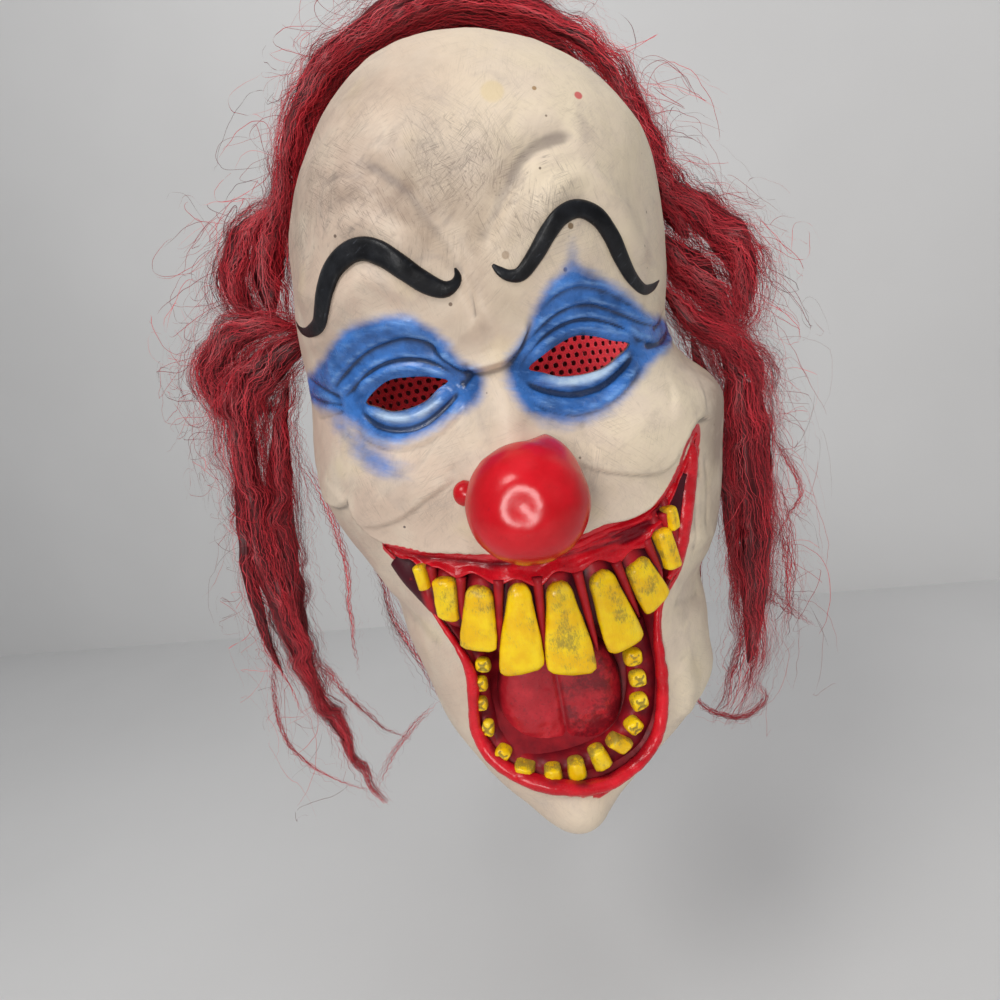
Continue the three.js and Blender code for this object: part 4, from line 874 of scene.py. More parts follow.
def makeBrows():
    material = glossPaint("blackPaint", (0.010, 0.011, 0.014), (0.002, 0.002, 0.003), 0.36, 90, 0.3, 0.0)
    tree = material.node_tree
    shader = tree.nodes["Principled BSDF"]
    scuff = between(tree, grain(tree, 1.0, 5, 0.7, where=place(tree, (0, 30, 0), (160, 300, 700))), 0.6,
                    0.72, 0, 0.55)
    base = shader.inputs["Base Color"].links[0].from_socket
    shader.inputs["Specular IOR Level"].default_value = 0.3
    join(tree, mix(tree, scuff, base, (0.075, 0.082, 0.1)), shader, "Base Color")
    for name, (cadNode, path) in brows.items():
        line = curve(path, 90)
        flat = line[:, :2]
        wide = np.maximum(line[:, 2] * 0.88, 0.25)
        wide = wide * (1 + 0.05 * lumps(np.stack([flat[:, 0], flat[:, 1], 0 * wide], -1), 7, 11))
        way = unit(np.gradient(flat, axis=0))
        over = np.stack([-way[:, 1], way[:, 0]], -1)
        angles = np.linspace(0, 2 * math.pi, 20, endpoint=False)
        profile = np.sign(np.cos(angles)) * np.abs(np.cos(angles)) ** 0.8
        x = flat[:, None, 0] + over[:, None, 0] * profile * wide[:, None]
        z = flat[:, None, 1] + over[:, None, 1] * profile * wide[:, None]
        crown = np.where(np.sin(angles) > 0, np.abs(np.sin(angles)) ** 0.7, -0.45)
        rise = crown[None] * np.minimum(wide, 4.6)[:, None] * 0.95
        rise = rise * (1 - 0.1 * np.exp(-((profile[None] - 0.15) / 0.25) ** 2) * (np.sin(angles) > 0)) - 0.4
        rings = np.stack([x, blurLine(faceY(x, z)) - rise, z], -1)
        rings += 0.16 * lumps(rings, 4, 12)[..., None] * (0.2, 1, 0.2)
        points, faces = tube(rings)
        pieceFrom(name, points, outwardFirst(points, faces), material, [cadNode])


def blurLine(values):
    kept = values.copy()
    for _ in range(3):
        kept[1:-1] = (kept[:-2] + 2 * kept[1:-1] + kept[2:]) / 4
    return kept


def redPaint():
    material, tree, shader = newMaterial("redGlossPaint", Roughness=0.26, Coat_Weight=0.06,
                                         Coat_Roughness=0.1, Specular_IOR_Level=0.36)
    red = mix(tree, between(tree, grain(tree, 45, 5, 0.6), 0.35, 0.7), (0.47, 0.002, 0.007),
              (0.62, 0.004, 0.013))
    red = mix(tree, between(tree, grain(tree, 210, 5, 0.7), 0.6, 0.78, 0, 0.55), red, (0.30, 0.003, 0.010))
    under = between(tree, plus(tree, placeAlong(tree, 2), times(tree, grain(tree, 90, 4), 0.012)), -0.2165,
                    -0.208, 1, 0)
    red = mix(tree, times(tree, under, 0.5), red, (0.70, 0.12, 0.02))
    join(tree, red, shader, "Base Color")
    bump(tree, shader, plus(tree, grain(tree, 55, 3), times(tree, grain(tree, 500, 3), 0.12)), 0.25, 0.0012)
    return material


# wings: across, size, how far each stands out
nose = {"middle": (3.2, -128.5, -192.6), "radius": 24.2, "peak": (15.6, -170.2), "voxel": 0.95,
        "smoothing": 8, "dent": {"towards": (-0.137, -0.966, 0.215), "deep": 2.9, "reach": 0.31},
        "wings": [(-20.4, 5.6, 2.3), (23.5, 3.8, 2.0)], "wingHeight": -188.0}


def makeNose():
    c, r = np.array(nose["middle"]), nose["radius"]
    rings, around = 48, 72
    polar = np.linspace(0.02, math.pi - 0.02, rings)[:, None]
    angle = np.linspace(0, 2 * math.pi, around, endpoint=False)[None]
    ball = np.stack([np.sin(polar) * np.cos(angle), np.sin(polar) * np.sin(angle),
                     np.cos(polar) + 0 * angle], -1)
    size = r * (1 + 0.012 * lumps(ball * 20, 9, 21) + 0.006 * lumps(ball * 20, 4, 22))
    dent = nose["dent"]
    off = np.arccos(np.clip((ball * unit(np.array(dent["towards"]))).sum(-1), -1, 1))
    size = size - dent["deep"] * np.exp(-((off / dent["reach"]) ** 2))
    parts = [tube(ball * size[..., None] + c)]
    peak = onFace(np.array([nose["peak"][0]]), np.array([nose["peak"][1]]), 1.6)[0]
    share = np.linspace(0, 1, 22)
    path = c + (2, 2, 4) + (peak - c - (2, 2, 4)) * share[:, None]
    path += (np.sin(math.pi * share) * 2.0)[:, None] * (1, 0, 0)
    reach = r * np.interp(share, [0, 0.35, 0.7, 0.92, 1.0], [0.95, 0.78, 0.4, 0.13, 0.03])
    parts.append(tubeAlong(path, reach, reach * 0.95, 28))
    for wingX, wingSize, lift in nose["wings"]:
        seat = onFace(np.array([wingX]), np.array([nose["wingHeight"]]), lift)[0]
        z = np.linspace(-1, 1, 14)
        path = seat + np.stack([0 * z, 0 * z, z * wingSize], -1)
        reach = wingSize * 0.95 * np.sqrt(np.maximum(1 - z**2, 0.02))
        parts.append(tubeAlong(path, reach, reach, 20))
    points, faces = merged(parts)
    piece = pieceFrom("ballNose", points, outwardFirst(points, faces), redPaint(), ["nose"])
    remesh = piece.modifiers.new("oneSkin", "REMESH")
    remesh.mode, remesh.voxel_size = "VOXEL", nose["voxel"] * mm
    soften = piece.modifiers.new("soften", "SMOOTH")
    soften.factor, soften.iterations = 0.6, nose["smoothing"]
    applyModifiers(piece)


def applyModifiers(piece):
    graph = bpy.context.evaluated_depsgraph_get()
    made = bpy.data.meshes.new_from_object(piece.evaluated_get(graph))
    piece.modifiers.clear()
    kept = list(piece.data.materials)
    piece.data = made
    if not len(made.materials):
        for m in kept:
            made.materials.append(m)
    made.shade_smooth()


def tubeAlong(path, across, deep, points, outwards=(0, -1, 0)):
    # A tube round a path, deep towards the way it faces and across the other way.
    along = unit(np.gradient(path, axis=0))
    side = unit(np.cross(along, np.asarray(outwards, float)))
    out = unit(np.cross(side, along))
    angle = np.linspace(0, 2 * math.pi, points, endpoint=False)
    across, deep = np.broadcast_to(across, len(path)), np.broadcast_to(deep, len(path))
    rings = path[:, None] + side[:, None] * (across[:, None] * np.cos(angle))[..., None]
    rings = rings + out[:, None] * (deep[:, None] * np.sin(angle))[..., None]
    return tube(rings)


def merged(parts):
    points, faces, start = [], [], 0
    for p, f in parts:
        points.append(p)
        faces += [[v + start for v in face] for face in f]
        start += len(p)
    return np.concatenate(points), faces


upperLip = {
    "top": [(-61, -209), (-58, -210.5), (-50, -213), (-38, -215), (-24, -217.5), (-12, -220), (6, -220.5),
            (23, -219), (34, -216.5), (42, -217), (51, -216.5), (59, -213.5), (66, -208), (71, -201),
            (75, -194), (79, -187), (83, -184)],
    "edge": [(-60.5, -211), (-56, -215.5), (-48, -220), (-40, -223), (-30, -225.5), (-20, -228), (-9, -232),
             (3, -234.5), (12, -232.5), (23, -231.5), (33, -232), (41, -232), (50, -230), (58, -225),
             (64, -218), (69, -211), (74, -203), (80, -193), (84, -187)],
}
toothLine = [-51, -39, -24, -6, 11, 30, 46, 58, 67]
toothReach = [6, 8, 8, 9, 9, 9, 8, 6, 5]


def makeUpperLip():
    cols, rows = 240, 32
    top, edge = curve(upperLip["top"], cols), curve(upperLip["edge"], cols)
    v = np.linspace(-0.12, 1, rows)[:, None]
    x = top[None, :, 0] * (1 - v) + edge[None, :, 0] * v
    z = top[None, :, 1] * (1 - v) + edge[None, :, 1] * v
    scallops = [np.exp(-(((edge[:, 0] - t) / (0.72 * w)) ** 2)) for t, w in zip(toothLine, toothReach)]
    scallop = np.max(scallops, 0)
    middle = smooth(edge[:, 0], -62, -48) * smooth(-edge[:, 0], -70, -58)
    z = z + (4.6 * (scallop - 0.62) * middle)[None] * smooth(v, 0.35, 1)
    behind = np.interp(v, [-0.12, 0.0, 0.1, 0.3, 0.55, 0.78, 0.9, 0.97, 1.0],
                       [4.4, 2.6, 1.2, 2.2, 1.0, -1.6, -2.1, -0.6, 2.6])
    tall = np.hypot(top[:, 0] - edge[:, 0], top[:, 1] - edge[:, 1])[None]
    where = np.stack([x * 0.3 + z * 0.2, 0 * x, z * 1.9 - x * 0.25], -1)
    wrinkle = 1.1 * lumps(where, 4.2, 31) + 0.5 * lumps(where, 1.9, 32)
    right = smooth(x, 5, 40)
    wrinkle = wrinkle * (0.3 + right) * np.sin(math.pi * np.clip(v, 0, 1))
    wrinkle = wrinkle * np.clip(tall / 10, 0.2, 1.2)
    y = blurLine(faceY(x, z).T).T + behind * np.clip(tall / 9, 0.45, 1) - wrinkle
    y = y + 0.5 * lumps(np.stack([x, y, z], -1), 6, 34)
    front = np.stack([x, y, z], -1)
    points, faces = slab(front, front + (0, 2.2, 0))
    # painted shade in the recess under the cheek's edge, in the hollows between the wrinkles and under the
    # lip's lower edge, less of it on the raised band near the lower edge, with random mottling
    recess = np.exp(-(((v - 0.3) / 0.2) ** 2)) * np.clip(tall / 10, 0, 1)
    washAndShade = np.clip(0.12 + 0.5 * recess - wrinkle * 0.45 * (0.3 + right) + 0.2 * lumps(where, 5, 33), 0, 1)
    washAndShade = np.clip(washAndShade + 0.7 * smooth(v, 0.97, 1.0) - 0.5 * np.exp(-(((v - 0.84) / 0.1) ** 2)), 0, 1)
    marks = {"washAndShade": np.concatenate([washAndShade.ravel(), washAndShade.ravel()])}
    pieceFrom("upperLip", points, outwardFirst(points, faces), lipPaint(), ["upper_lip"],
              marks)


@cache
def lipPaint():
    material, tree, shader = newMaterial("redLipPaint", Roughness=0.3, Coat_Weight=0.05, Coat_Roughness=0.14,
                                         Specular_IOR_Level=0.36)
    red = mix(tree, between(tree, grain(tree, 75, 5, 0.65), 0.35, 0.7), (0.48, 0.004, 0.012),
              (0.68, 0.010, 0.022))
    red = mix(tree, between(tree, grain(tree, 260, 5, 0.7), 0.58, 0.74, 0, 0.6), red, (0.2, 0.004, 0.012))
    # painted shade from the lip's marks darkens it towards near-black red
    washAndShade = between(tree, plus(tree, mark(tree, "washAndShade"), times(tree, grain(tree, 240, 4), 0.3)), 0.3, 0.95)
    red = mix(tree, times(tree, washAndShade, 0.85), red, (0.09, 0.004, 0.010))
    join(tree, red, shader, "Base Color")
    join(tree, plus(tree, times(tree, grain(tree, 200, 3), 0.25), 0.14), shader, "Roughness")
    bump(tree, shader, grain(tree, 380, 4, 0.6), 0.3, 0.0008)
    return material


lowerLip = {"span": (8.55, 17.05), "wide": [2.6, 2.8, 3.2, 3.9, 3.7, 2.8, 2.3],
            "shares": [0, 0.15, 0.3, 0.5, 0.65, 0.8, 1], "outside": [1.2, 1.4, 2.2, 3.6, 3.9, 3.4, 3.0],
            "corner": (6.1, 8.3)}


def mouthAt(t, inset=0.0):
    p = through(mouthEdge, np.asarray(t, float), True)
    return p + unit(mouthMiddle - p) * (inset if np.ndim(inset) == 0 else np.asarray(inset)[..., None])


def makeLowerLip():
    count, around = 240, 30
    t = np.linspace(*lowerLip["span"], count)
    share = np.linspace(0, 1, count)
    thin = np.clip(0.25 + 5 * np.minimum(share, 1 - share), 0, 1)
    wide = np.interp(share, lowerLip["shares"], lowerLip["wide"])
    flat = mouthAt(t, wide - np.interp(share, lowerLip["shares"], lowerLip["outside"]))
    flat = np.stack([blurLine(flat[:, 0]), blurLine(flat[:, 1])], -1)
    path = onFace(flat[:, 0], flat[:, 1], 0.6)
    path[:, 1] = blurLine(blurLine(path[:, 1]))
    wobble = 1 + 0.10 * lumps(path, 9, 41) + 0.05 * lumps(path, 4, 42)
    points, faces = tubeAlong(path, wide * thin * wobble, (0.6 * wide + 1.5) * thin * wobble, around)
    outward = unit(points - np.resize(np.repeat(path, around, 0), points.shape))
    points = points + 0.28 * lumps(points, 3.2, 43)[:, None] * outward
    faces = outwardFirst(points, faces)
    pathAway = np.repeat(np.linalg.norm(flat - mouthMiddle, axis=1), around)
    inward = np.linalg.norm(points[:, [0, 2]] - mouthMiddle, axis=1) - np.resize(pathAway, len(points))
    # painted shade on the lip's inner side, towards the mouth, with random mottling
    washAndShade = np.clip(0.1 + 0.28 * lumps(points, 6, 44) - 0.16 * (inward + 1.2), 0, 1)
    pieceFrom("lowerLip", points, faces, lipPaint(), ["lower_lip"], {"washAndShade": washAndShade})
    # the rim that turns down from the right corner
    t = np.linspace(*lowerLip["corner"], 90)
    share = np.linspace(0, 1, 90)
    flat = mouthAt(t, 3.4)
    path = onFace(flat[:, 0], flat[:, 1], -1.6)
    path[:, 1] = blurLine(blurLine(path[:, 1]))
    reach = 4.4 * np.sin(math.pi * np.clip(share, 0.03, 0.97)) ** 0.5
    points, faces = tubeAlong(path, reach, reach * 0.9, 22)
    points = points + 0.3 * lumps(points, 3, 45)[:, None] * (0, -1, 0)
    washAndShade = np.clip(0.12 + 0.3 * lumps(points, 5, 46), 0, 1)
    pieceFrom("cornerLip", points, outwardFirst(points, faces), lipPaint(), (),
              {"washAndShade": washAndShade})


def makeLining():
    # The bowl behind the mouth's edge, its wall running back from the opening.
    around = 220
    t = np.linspace(0, len(mouthEdge), around, endpoint=False)
    shares = np.array([0, 0.03, 0.07, 0.12, 0.18, 0.25, 0.34, 0.45, 0.58, 0.72, 0.86, 0.97])
    deep = 22 * smooth(shares, -0.05, 0.34) + 1.2
    nets = []
    edge = mouthAt(t, 0.5)
    for behind in (0.0, 2.4):
        rings = []
        for share, depth in zip(shares, deep):
            p = edge * (1 - share) + mouthMiddle * share
            q = onFace(p[:, 0], p[:, 1], 0)
            q[:, 1] += depth + behind
            rings.append(q)
        nets.append(np.array(rings))
    front, back = nets
    front += 0.35 * lumps(front, 5, 51)[..., None] * (0, 1, 0)
    rings = np.concatenate([back[::-1], front])
    points, faces = tube(rings)
    material = gumPaint()
    # the whole bowl is darkened evenly
    marks = {"washAndShade": np.full(len(points), 0.4)}
    pieceFrom("mouthLining", points, outwardFirst(points, faces), material, ["mouth_lining"],
              marks)


@cache
def gumPaint():
    material, tree, shader = newMaterial("gumPaint", Roughness=0.42, Coat_Weight=0.0, Specular_IOR_Level=0.25)
    gum = mix(tree, between(tree, grain(tree, 80, 4, 0.6), 0.35, 0.7), (0.30, 0.008, 0.015),
              (0.46, 0.013, 0.022))
    # painted shade from the piece's marks darkens the gum towards near black
    washAndShade = between(tree, plus(tree, mark(tree, "washAndShade"), times(tree, grain(tree, 180, 4), 0.4)), 0.25, 1.0)
    gum = mix(tree, washAndShade, gum, (0.055, 0.004, 0.010))
    gum = mix(tree, between(tree, grain(tree, 300, 4, 0.7), 0.6, 0.74, 0, 0.35), gum, (0.36, 0.012, 0.022))
    join(tree, gum, shader, "Base Color")
    bump(tree, shader, grain(tree, 260, 4), 0.3, 0.0008)
    return material


# middle across and down, width at the gum and at the bite, length, lean in degrees
upperTeeth = [
    (-46.5, -225, 6, 5.4, 12.5, 0), (-38, -236, 11, 9.5, 20.5, 6), (-25.5, -246, 12, 16.5, 31, 12),
    (-8.5, -253.5, 10.5, 20.5, 43, 8),
    (10.8, -257, 12, 23, 45, 0), (33.2, -254, 12, 18.5, 40, -12), (50.2, -246, 11.5, 15, 25.5, -21),
    (62, -233.5, 8, 8.2, 21, -14), (65.5, -220, 5.5, 5.5, 11.5, -10),
]
# middle across and down, width, length, lean
lowerTeeth = [
    (-28, -270.5, 6.6, 7.0, 0), (-31, -280, 6.6, 7.2, 0), (-32.5, -290, 6.2, 6.8, 0),
    (-31.5, -302.5, 5.6, 8.8, 8), (-27, -315.5, 7.8, 8.0, 35),
    (-18.5, -324, 10.4, 7.6, 18), (-6, -327.5, 8.4, 9.8, 4), (5, -327.5, 8.2, 11.8, 0),
    (16.4, -324.5, 8.6, 13.4, -14), (26.2, -319.5, 8.6, 11.0, -46),
    (34.6, -313, 8.2, 8.4, -30), (39, -302, 8.2, 8.0, -8), (40, -291, 7.8, 7.8, 0),
    (39.4, -280.5, 8.2, 8.2, 0),
]


def toothPaint(name, grey):
    material, tree, shader = newMaterial(name, Roughness=0.33, Coat_Weight=0.05, Coat_Roughness=0.2,
                                         Specular_IOR_Level=0.35)
    yellow = mix(tree, between(tree, grain(tree, 90, 4, 0.6), 0.35, 0.65), (0.82, 0.48, 0.003),
                 (0.91, 0.64, 0.006))
    yellow = mix(tree, between(tree, grain(tree, 45, 3), 0.58, 0.72, 0, 0.4), yellow, (0.82, 0.64, 0.09))
    streak = grain(tree, 1.0, 8, 0.82, where=place(tree, (0, 4, 0), (1500, 700, 520)))
    patch = plus(tree, mark(tree, "grime"), times(tree, less(tree, grain(tree, 120, 4, 0.6), 0.5), 0.9))
    brushed = between(tree, plus(tree, less(tree, streak, 0.5), patch), grey, grey + 0.26)
    yellow = mix(tree, times(tree, brushed, 0.72), yellow, (0.18, 0.14, 0.04))
    root = mark(tree, "root")
    yellow = mix(tree, between(tree, plus(tree, root, times(tree, grain(tree, 500, 4), 0.5)), 0.72, 1.0),
                 yellow, (0.22, 0.02, 0.02))
    join(tree, yellow, shader, "Base Color")
    join(tree, plus(tree, times(tree, brushed, 0.25), 0.26), shader, "Roughness")
    bump(tree, shader, grain(tree, 1.0, 4, 0.6, where=place(tree, (0, 4, 0), (420, 300, 130))), 0.3, 0.0008)
    return material


def toothShape(middle, yaw, lean, gumWide, biteWide, long, deep, seed, molar=False, around=34, rings=26):
    v = np.linspace(0, 1, rings)
    width = 0.5 * (gumWide + (biteWide - gumWide) * smooth(v, 0, 0.85))
    cap = np.minimum(1, np.maximum(1 - ((v - 0.90) / 0.10).clip(0, 1) ** 2.2, 0.0) ** 0.5)
    top = np.minimum(1, (v / 0.10).clip(0, 1) ** 0.5)
    close = np.maximum(cap * (0.35 + 0.65 * top), 0.02)
    if molar:
        close = np.maximum(np.sqrt(np.maximum(1 - (2 * v - 1) ** 4, 0)), 0.03)
    angle = np.linspace(0, 2 * math.pi, around, endpoint=False)
    cx = np.sign(np.cos(angle)) * np.abs(np.cos(angle)) ** 0.72
    cy = np.sign(np.sin(angle)) * np.abs(np.sin(angle)) ** 0.72
    wedge = 1 - 0.35 * v ** 2
    x = cx[None] * (width * close)[:, None]
    y = cy[None] * (deep * wedge * np.maximum(close, 0.25 * (close > 0.02)))[:, None]
    x = x * (1 + 0.05 * np.sin(angle * 2 + seed)[None])
    z = (0.5 - v)[:, None] * long + 0 * x
    z = z + 0.05 * long * smooth(v, 0.6, 1)[:, None] * math.sin(seed * 2.1) * x / np.max(np.abs(x))
    points = np.stack([x, y, z], -1)
    ribs = 0.22 * np.cos(x * 1.9 + seed) * (cy[None] < 0) * np.sin(math.pi * v)[:, None] ** 0.5
    points[..., 1] -= ribs
    points += 0.16 * lumps(points + seed * 13, 3.5, 61)[..., None] * (1, 1, 0.4)
    if molar:
        star = np.minimum(np.abs(x * 0.8 + z * 0.6), np.abs(x * 0.7 - z * 0.7))
        points[..., 1] += 1.0 * np.exp(-((star / 0.6) ** 2)) * (cy[None] < 0) * (np.hypot(x, z) < 0.45 * long)
    a, b = math.radians(lean), yaw
    turned = points @ np.array([[math.cos(a), 0, -math.sin(a)], [0, 1, 0], [math.sin(a), 0, math.cos(a)]])
    turned = turned @ np.array([[math.cos(b), math.sin(b), 0], [-math.sin(b), math.cos(b), 0], [0, 0, 1]])
    shapePoints, faces = tube(turned + middle)
    vAll = np.concatenate([np.repeat(v, around), [0, 1]])
    across, flatX, flatZ = [
        np.concatenate([rows.ravel(), [0, 0]]) for rows in (cx[None] + 0 * v[:, None], x, z)
    ]
    return shapePoints, outwardFirst(shapePoints, faces), vAll, across, flatX, flatZ


def makeTeeth():
    heavy = toothPaint("toothPaintHeavy", 0.03)
    light = toothPaint("toothPaintLight", 0.045)
    molar = toothPaint("toothPaintMolar", 0.2)
    for i, (x, z, gumWide, biteWide, long, lean) in enumerate(upperTeeth):
        y = faceY([x, x + 2], [z, z])
        yaw = math.atan2(y[1] - y[0], 2) * 0.9
        middle = np.array([x, y[0] - 1.5, z])
        points, faces, v, across = toothShape(middle, yaw, lean, gumWide, biteWide, long, 4.4, i + 1)[:4]
        centre = (0.02, 0.06, 0.06, 0.03, 0.22, 0.1, 0.12, 0.16, 0.1)[i]
        grime = centre * np.exp(-((across / 0.5) ** 2) - ((v - 0.5) / 0.26) ** 2)
        grime = grime + 0.12 * np.exp(-((v / 0.3) ** 2)) + 0.06 * (np.abs(across) > 0.9)
        root = 0.55 * np.exp(-((v / 0.05) ** 2))
        pieceFrom(f"upperTooth{i + 1}", points, faces, heavy if i in (4, 6, 7) else light,
                  [f"upper_tooth_{i + 1}"], {"grime": grime, "root": root})
    for i, (x, z, wide, long, lean) in enumerate(lowerTeeth):
        y = faceY([x, x + 2], [z, z])
        yaw = math.atan2(y[1] - y[0], 2) * 0.6
        isMolar = i < 5 or i > 9
        middle = np.array([x, y[0] + 3.2, z])
        points, faces, v, _, px, pz = toothShape(middle, yaw, lean, wide * (1 if isMolar else 0.86), wide,
                                                 long, 0.56 * wide, i + 20, isMolar, 26, 20)
        star = np.minimum(np.abs(px * 0.8 + pz * 0.6), np.abs(px * 0.7 - pz * 0.7))
        outer = np.hypot(px / wide, pz / long)
        if isMolar:
            grime = 0.6 * np.exp(-((star / 0.7) ** 2)) * (np.hypot(px, pz) < 0.42 * long)
            root = 0.25 * smooth(outer, 0.4, 0.55)
        else:
            grime = 0.03 + 0 * v
            root = 0.5 * np.exp(-((v / 0.1) ** 2))
        grime = grime + 0.25 * smooth(outer, 0.38, 0.55)
        pieceFrom(f"lowerTooth{i + 1}", points, faces, molar if isMolar else light, [f"lower_tooth_{i + 1}"],
                  {"grime": grime, "root": root})


upperGumLine = [(-56, -218, 6), (-48, -227, 9), (-37, -235, 12.5), (-20, -242, 15.5), (3, -245.5, 17),
                (26, -245, 16.5), (43, -239.5, 14), (57, -228.5, 11.5), (68, -213, 7), (74, -202, 5)]
lowerGumLine = [(-30, -258, 6), (-33, -270, 7), (-34, -284, 7), (-34.5, -298, 7), (-31, -312, 7),
                (-20, -325, 7.5), (2, -330, 8), (24, -327, 8), (37, -315, 7.5), (43, -298, 7),
                (43.5, -282, 7), (42, -266, 6)]


def makeGums():
    for name, cadNode, line, behind, teeth, deep in (
        ("upperGum", "upper_gum", upperGumLine, 6.2, [(t[0], t[1], t[2], t[5]) for t in upperTeeth], 6.2),
        ("lowerGum", "lower_gum", lowerGumLine, 11.0, [(t[0], t[1], t[2], t[4]) for t in lowerTeeth], 6.5),
    ):
        rows = curve(line, 150)
        path = onFace(rows[:, 0], rows[:, 1], 0)
        path[:, 1] = blurLine(blurLine(path[:, 1])) + behind
        along = unit(np.gradient(path, axis=0))
        side = unit(np.cross(along, np.array([0, -1.0, 0])))
        out = unit(np.cross(side, along))
        angle = np.linspace(0, 2 * math.pi, 36, endpoint=False)
        c = np.sign(np.cos(angle)) * np.abs(np.cos(angle)) ** 0.8
        s = np.sign(np.sin(angle)) * np.abs(np.sin(angle)) ** 0.8
        rings = path[:, None] + side[:, None] * (rows[:, 2:3] * c)[..., None]
        rings = rings + out[:, None] * (deep * s)[None, :, None]
        swell = np.zeros(rings.shape[:2])
        for x, z, wide, lean in teeth:
            axis = math.tan(math.radians(lean))
            offset = rings[..., 0] - x + axis * (z - rings[..., 2])
            near = np.abs(rings[..., 2] - z) < 26
            if name == "lowerGum":
                offset = np.hypot(rings[..., 0] - x, rings[..., 2] - z) * 0.9
            swell = np.maximum(swell, np.exp(-((offset / (0.40 * wide)) ** 2)) * near)
        rings[..., 1] -= (2.6 * (swell - 0.35)) * (s[None] > -0.2)
        rings += 0.3 * lumps(rings, 4, 71)[..., None] * (0, 1, 0)
        parts = [tube(rings)]
        # painted shade between the root swells and less on the swells; the upper gum is darker overall
        washAndShade = [np.clip((0.9 if name == "upperGum" else 0.55) - 0.95 * swell, 0, 1).ravel(), [0.5, 0.5]]
        if name == "upperGum":
            around = 16
            shaded = 0.55 - 0.5 * np.sin(np.linspace(0, 2 * math.pi, around, endpoint=False))
            for path, reach in gumRidges():
                parts.append(tubeAlong(path, reach, reach * 1.3, around))
                washAndShade += [np.tile(shaded, len(path)).clip(0, 1), [0.6, 0.6]]
        points, faces = merged([(p, outwardFirst(p, f)) for p, f in parts])
        marks = {"washAndShade": np.concatenate(washAndShade)}
        pieceFrom(name, points, faces, gumPaint(), [cadNode], marks)


def gumRidges():
    # Thin ridges that run down between the upper teeth.
    ends = []
    for x, z, _, _, long, lean in upperTeeth:
        a = math.radians(lean)
        step = np.array([math.sin(a), math.cos(a)]) * long / 2
        ends.append((np.array([x, z]) + step, np.array([x, z]) - step))
    for (topA, endA), (topB, endB) in zip(ends, ends[1:]):
        top, end = (topA + topB) / 2 + (0, 2.5), (endA + endB) / 2
        end = end + (top - end) * 0.1
        flat = top + (end - top) * np.linspace(0, 1, 16)[:, None]
        path = onFace(flat[:, 0], flat[:, 1], 0)
        path[:, 1] += np.linspace(-0.6, 2.0, 16)
        yield path, np.interp(np.linspace(0, 1, 16), [0, 0.15, 0.8, 1], [2.4, 2.2, 1.5, 0.5])


tongueShape = {"middle": (4.5, -298.5), "wide": 30.0, "tall": 31.5, "floor": 22.8, "high": 9.0}


def makeTongue():
    n = 62
    u, v = np.meshgrid(np.linspace(-1, 1, n), np.linspace(-1, 1, n))
    x = u * np.sqrt(1 - 0.45 * v * v)
    z = v * np.sqrt(1 - 0.45 * u * u)
    edge = np.sqrt(np.maximum(0, 1 - u**4)) * np.sqrt(np.maximum(0, 1 - v**4))
    dome = edge ** 0.7
    parting = 1 - (0.22 * np.exp(-(((x + 0.02) / 0.045) ** 2)) + 0.14 * np.exp(-((x / 0.25) ** 2))) * edge
    px = tongueShape["middle"][0] + x * tongueShape["wide"]
    pz = tongueShape["middle"][1] - z * tongueShape["tall"]
    floor = blurLine(faceY(px, pz)) + tongueShape["floor"]
    floor = floor.mean() * 0.5 + floor * 0.5
    top = np.stack([px, floor - 0.3 - tongueShape["high"] * dome * parting, pz], -1)
    top[..., 1] += 0.35 * lumps(top, 6, 81) + 0.2 * lumps(top, 2.4, 82)
    back = np.stack([px, floor + 1.0, pz], -1)
    points, faces = slab(top, back)
    material, tree, shader = newMaterial("tonguePaint", Roughness=0.34, Coat_Weight=0.1, Coat_Roughness=0.15,
                                         Specular_IOR_Level=0.4)
    red = mix(tree, between(tree, grain(tree, 90, 4, 0.6), 0.35, 0.7), (0.40, 0.010, 0.02),
              (0.56, 0.022, 0.035))
    right = between(tree, placeAlong(tree, 0), 0.002, 0.007)
    patch = between(tree, grain(tree, 95, 7, 0.78), 0.42, 0.58)
    speck = between(tree, grain(tree, 620, 4, 0.7), 0.56, 0.64)
    dark = larger(tree, times(tree, patch, times(tree, right, 0.95)), times(tree, speck, 0.5))
    # the marks' painted shade joins the dark patches
    dark = larger(tree, dark, between(tree, mark(tree, "washAndShade"), 0.1, 0.9))
    red = mix(tree, times(tree, dark, 0.8), red, (0.10, 0.006, 0.012))
    join(tree, red, shader, "Base Color")
    bump(tree, shader, grain(tree, 420, 4), 0.35, 0.0008)
    # painted shade in the middle groove and towards the edges
    washAndShade = np.clip(np.exp(-(((x + 0.02) / 0.03) ** 2)) * 0.55 + smooth(1 - edge, 0.35, 0.9), 0, 1)
    marks = {"washAndShade": np.concatenate([washAndShade.ravel(), washAndShade.ravel()])}
    pieceFrom("paintedTongue", points, outwardFirst(points, faces), material, ["tongue"],
              marks)


makeBrows()
makeNose()
makeUpperLip()
makeLowerLip()
makeLining()
makeGums()
makeTeeth()
makeTongue()
print("painted pieces done")

# The mesh cap
capNet = {"pitch": 5.7, "hole": 0.56, "thick": 1.1, "lift": 3.3, "spread": 1.45}


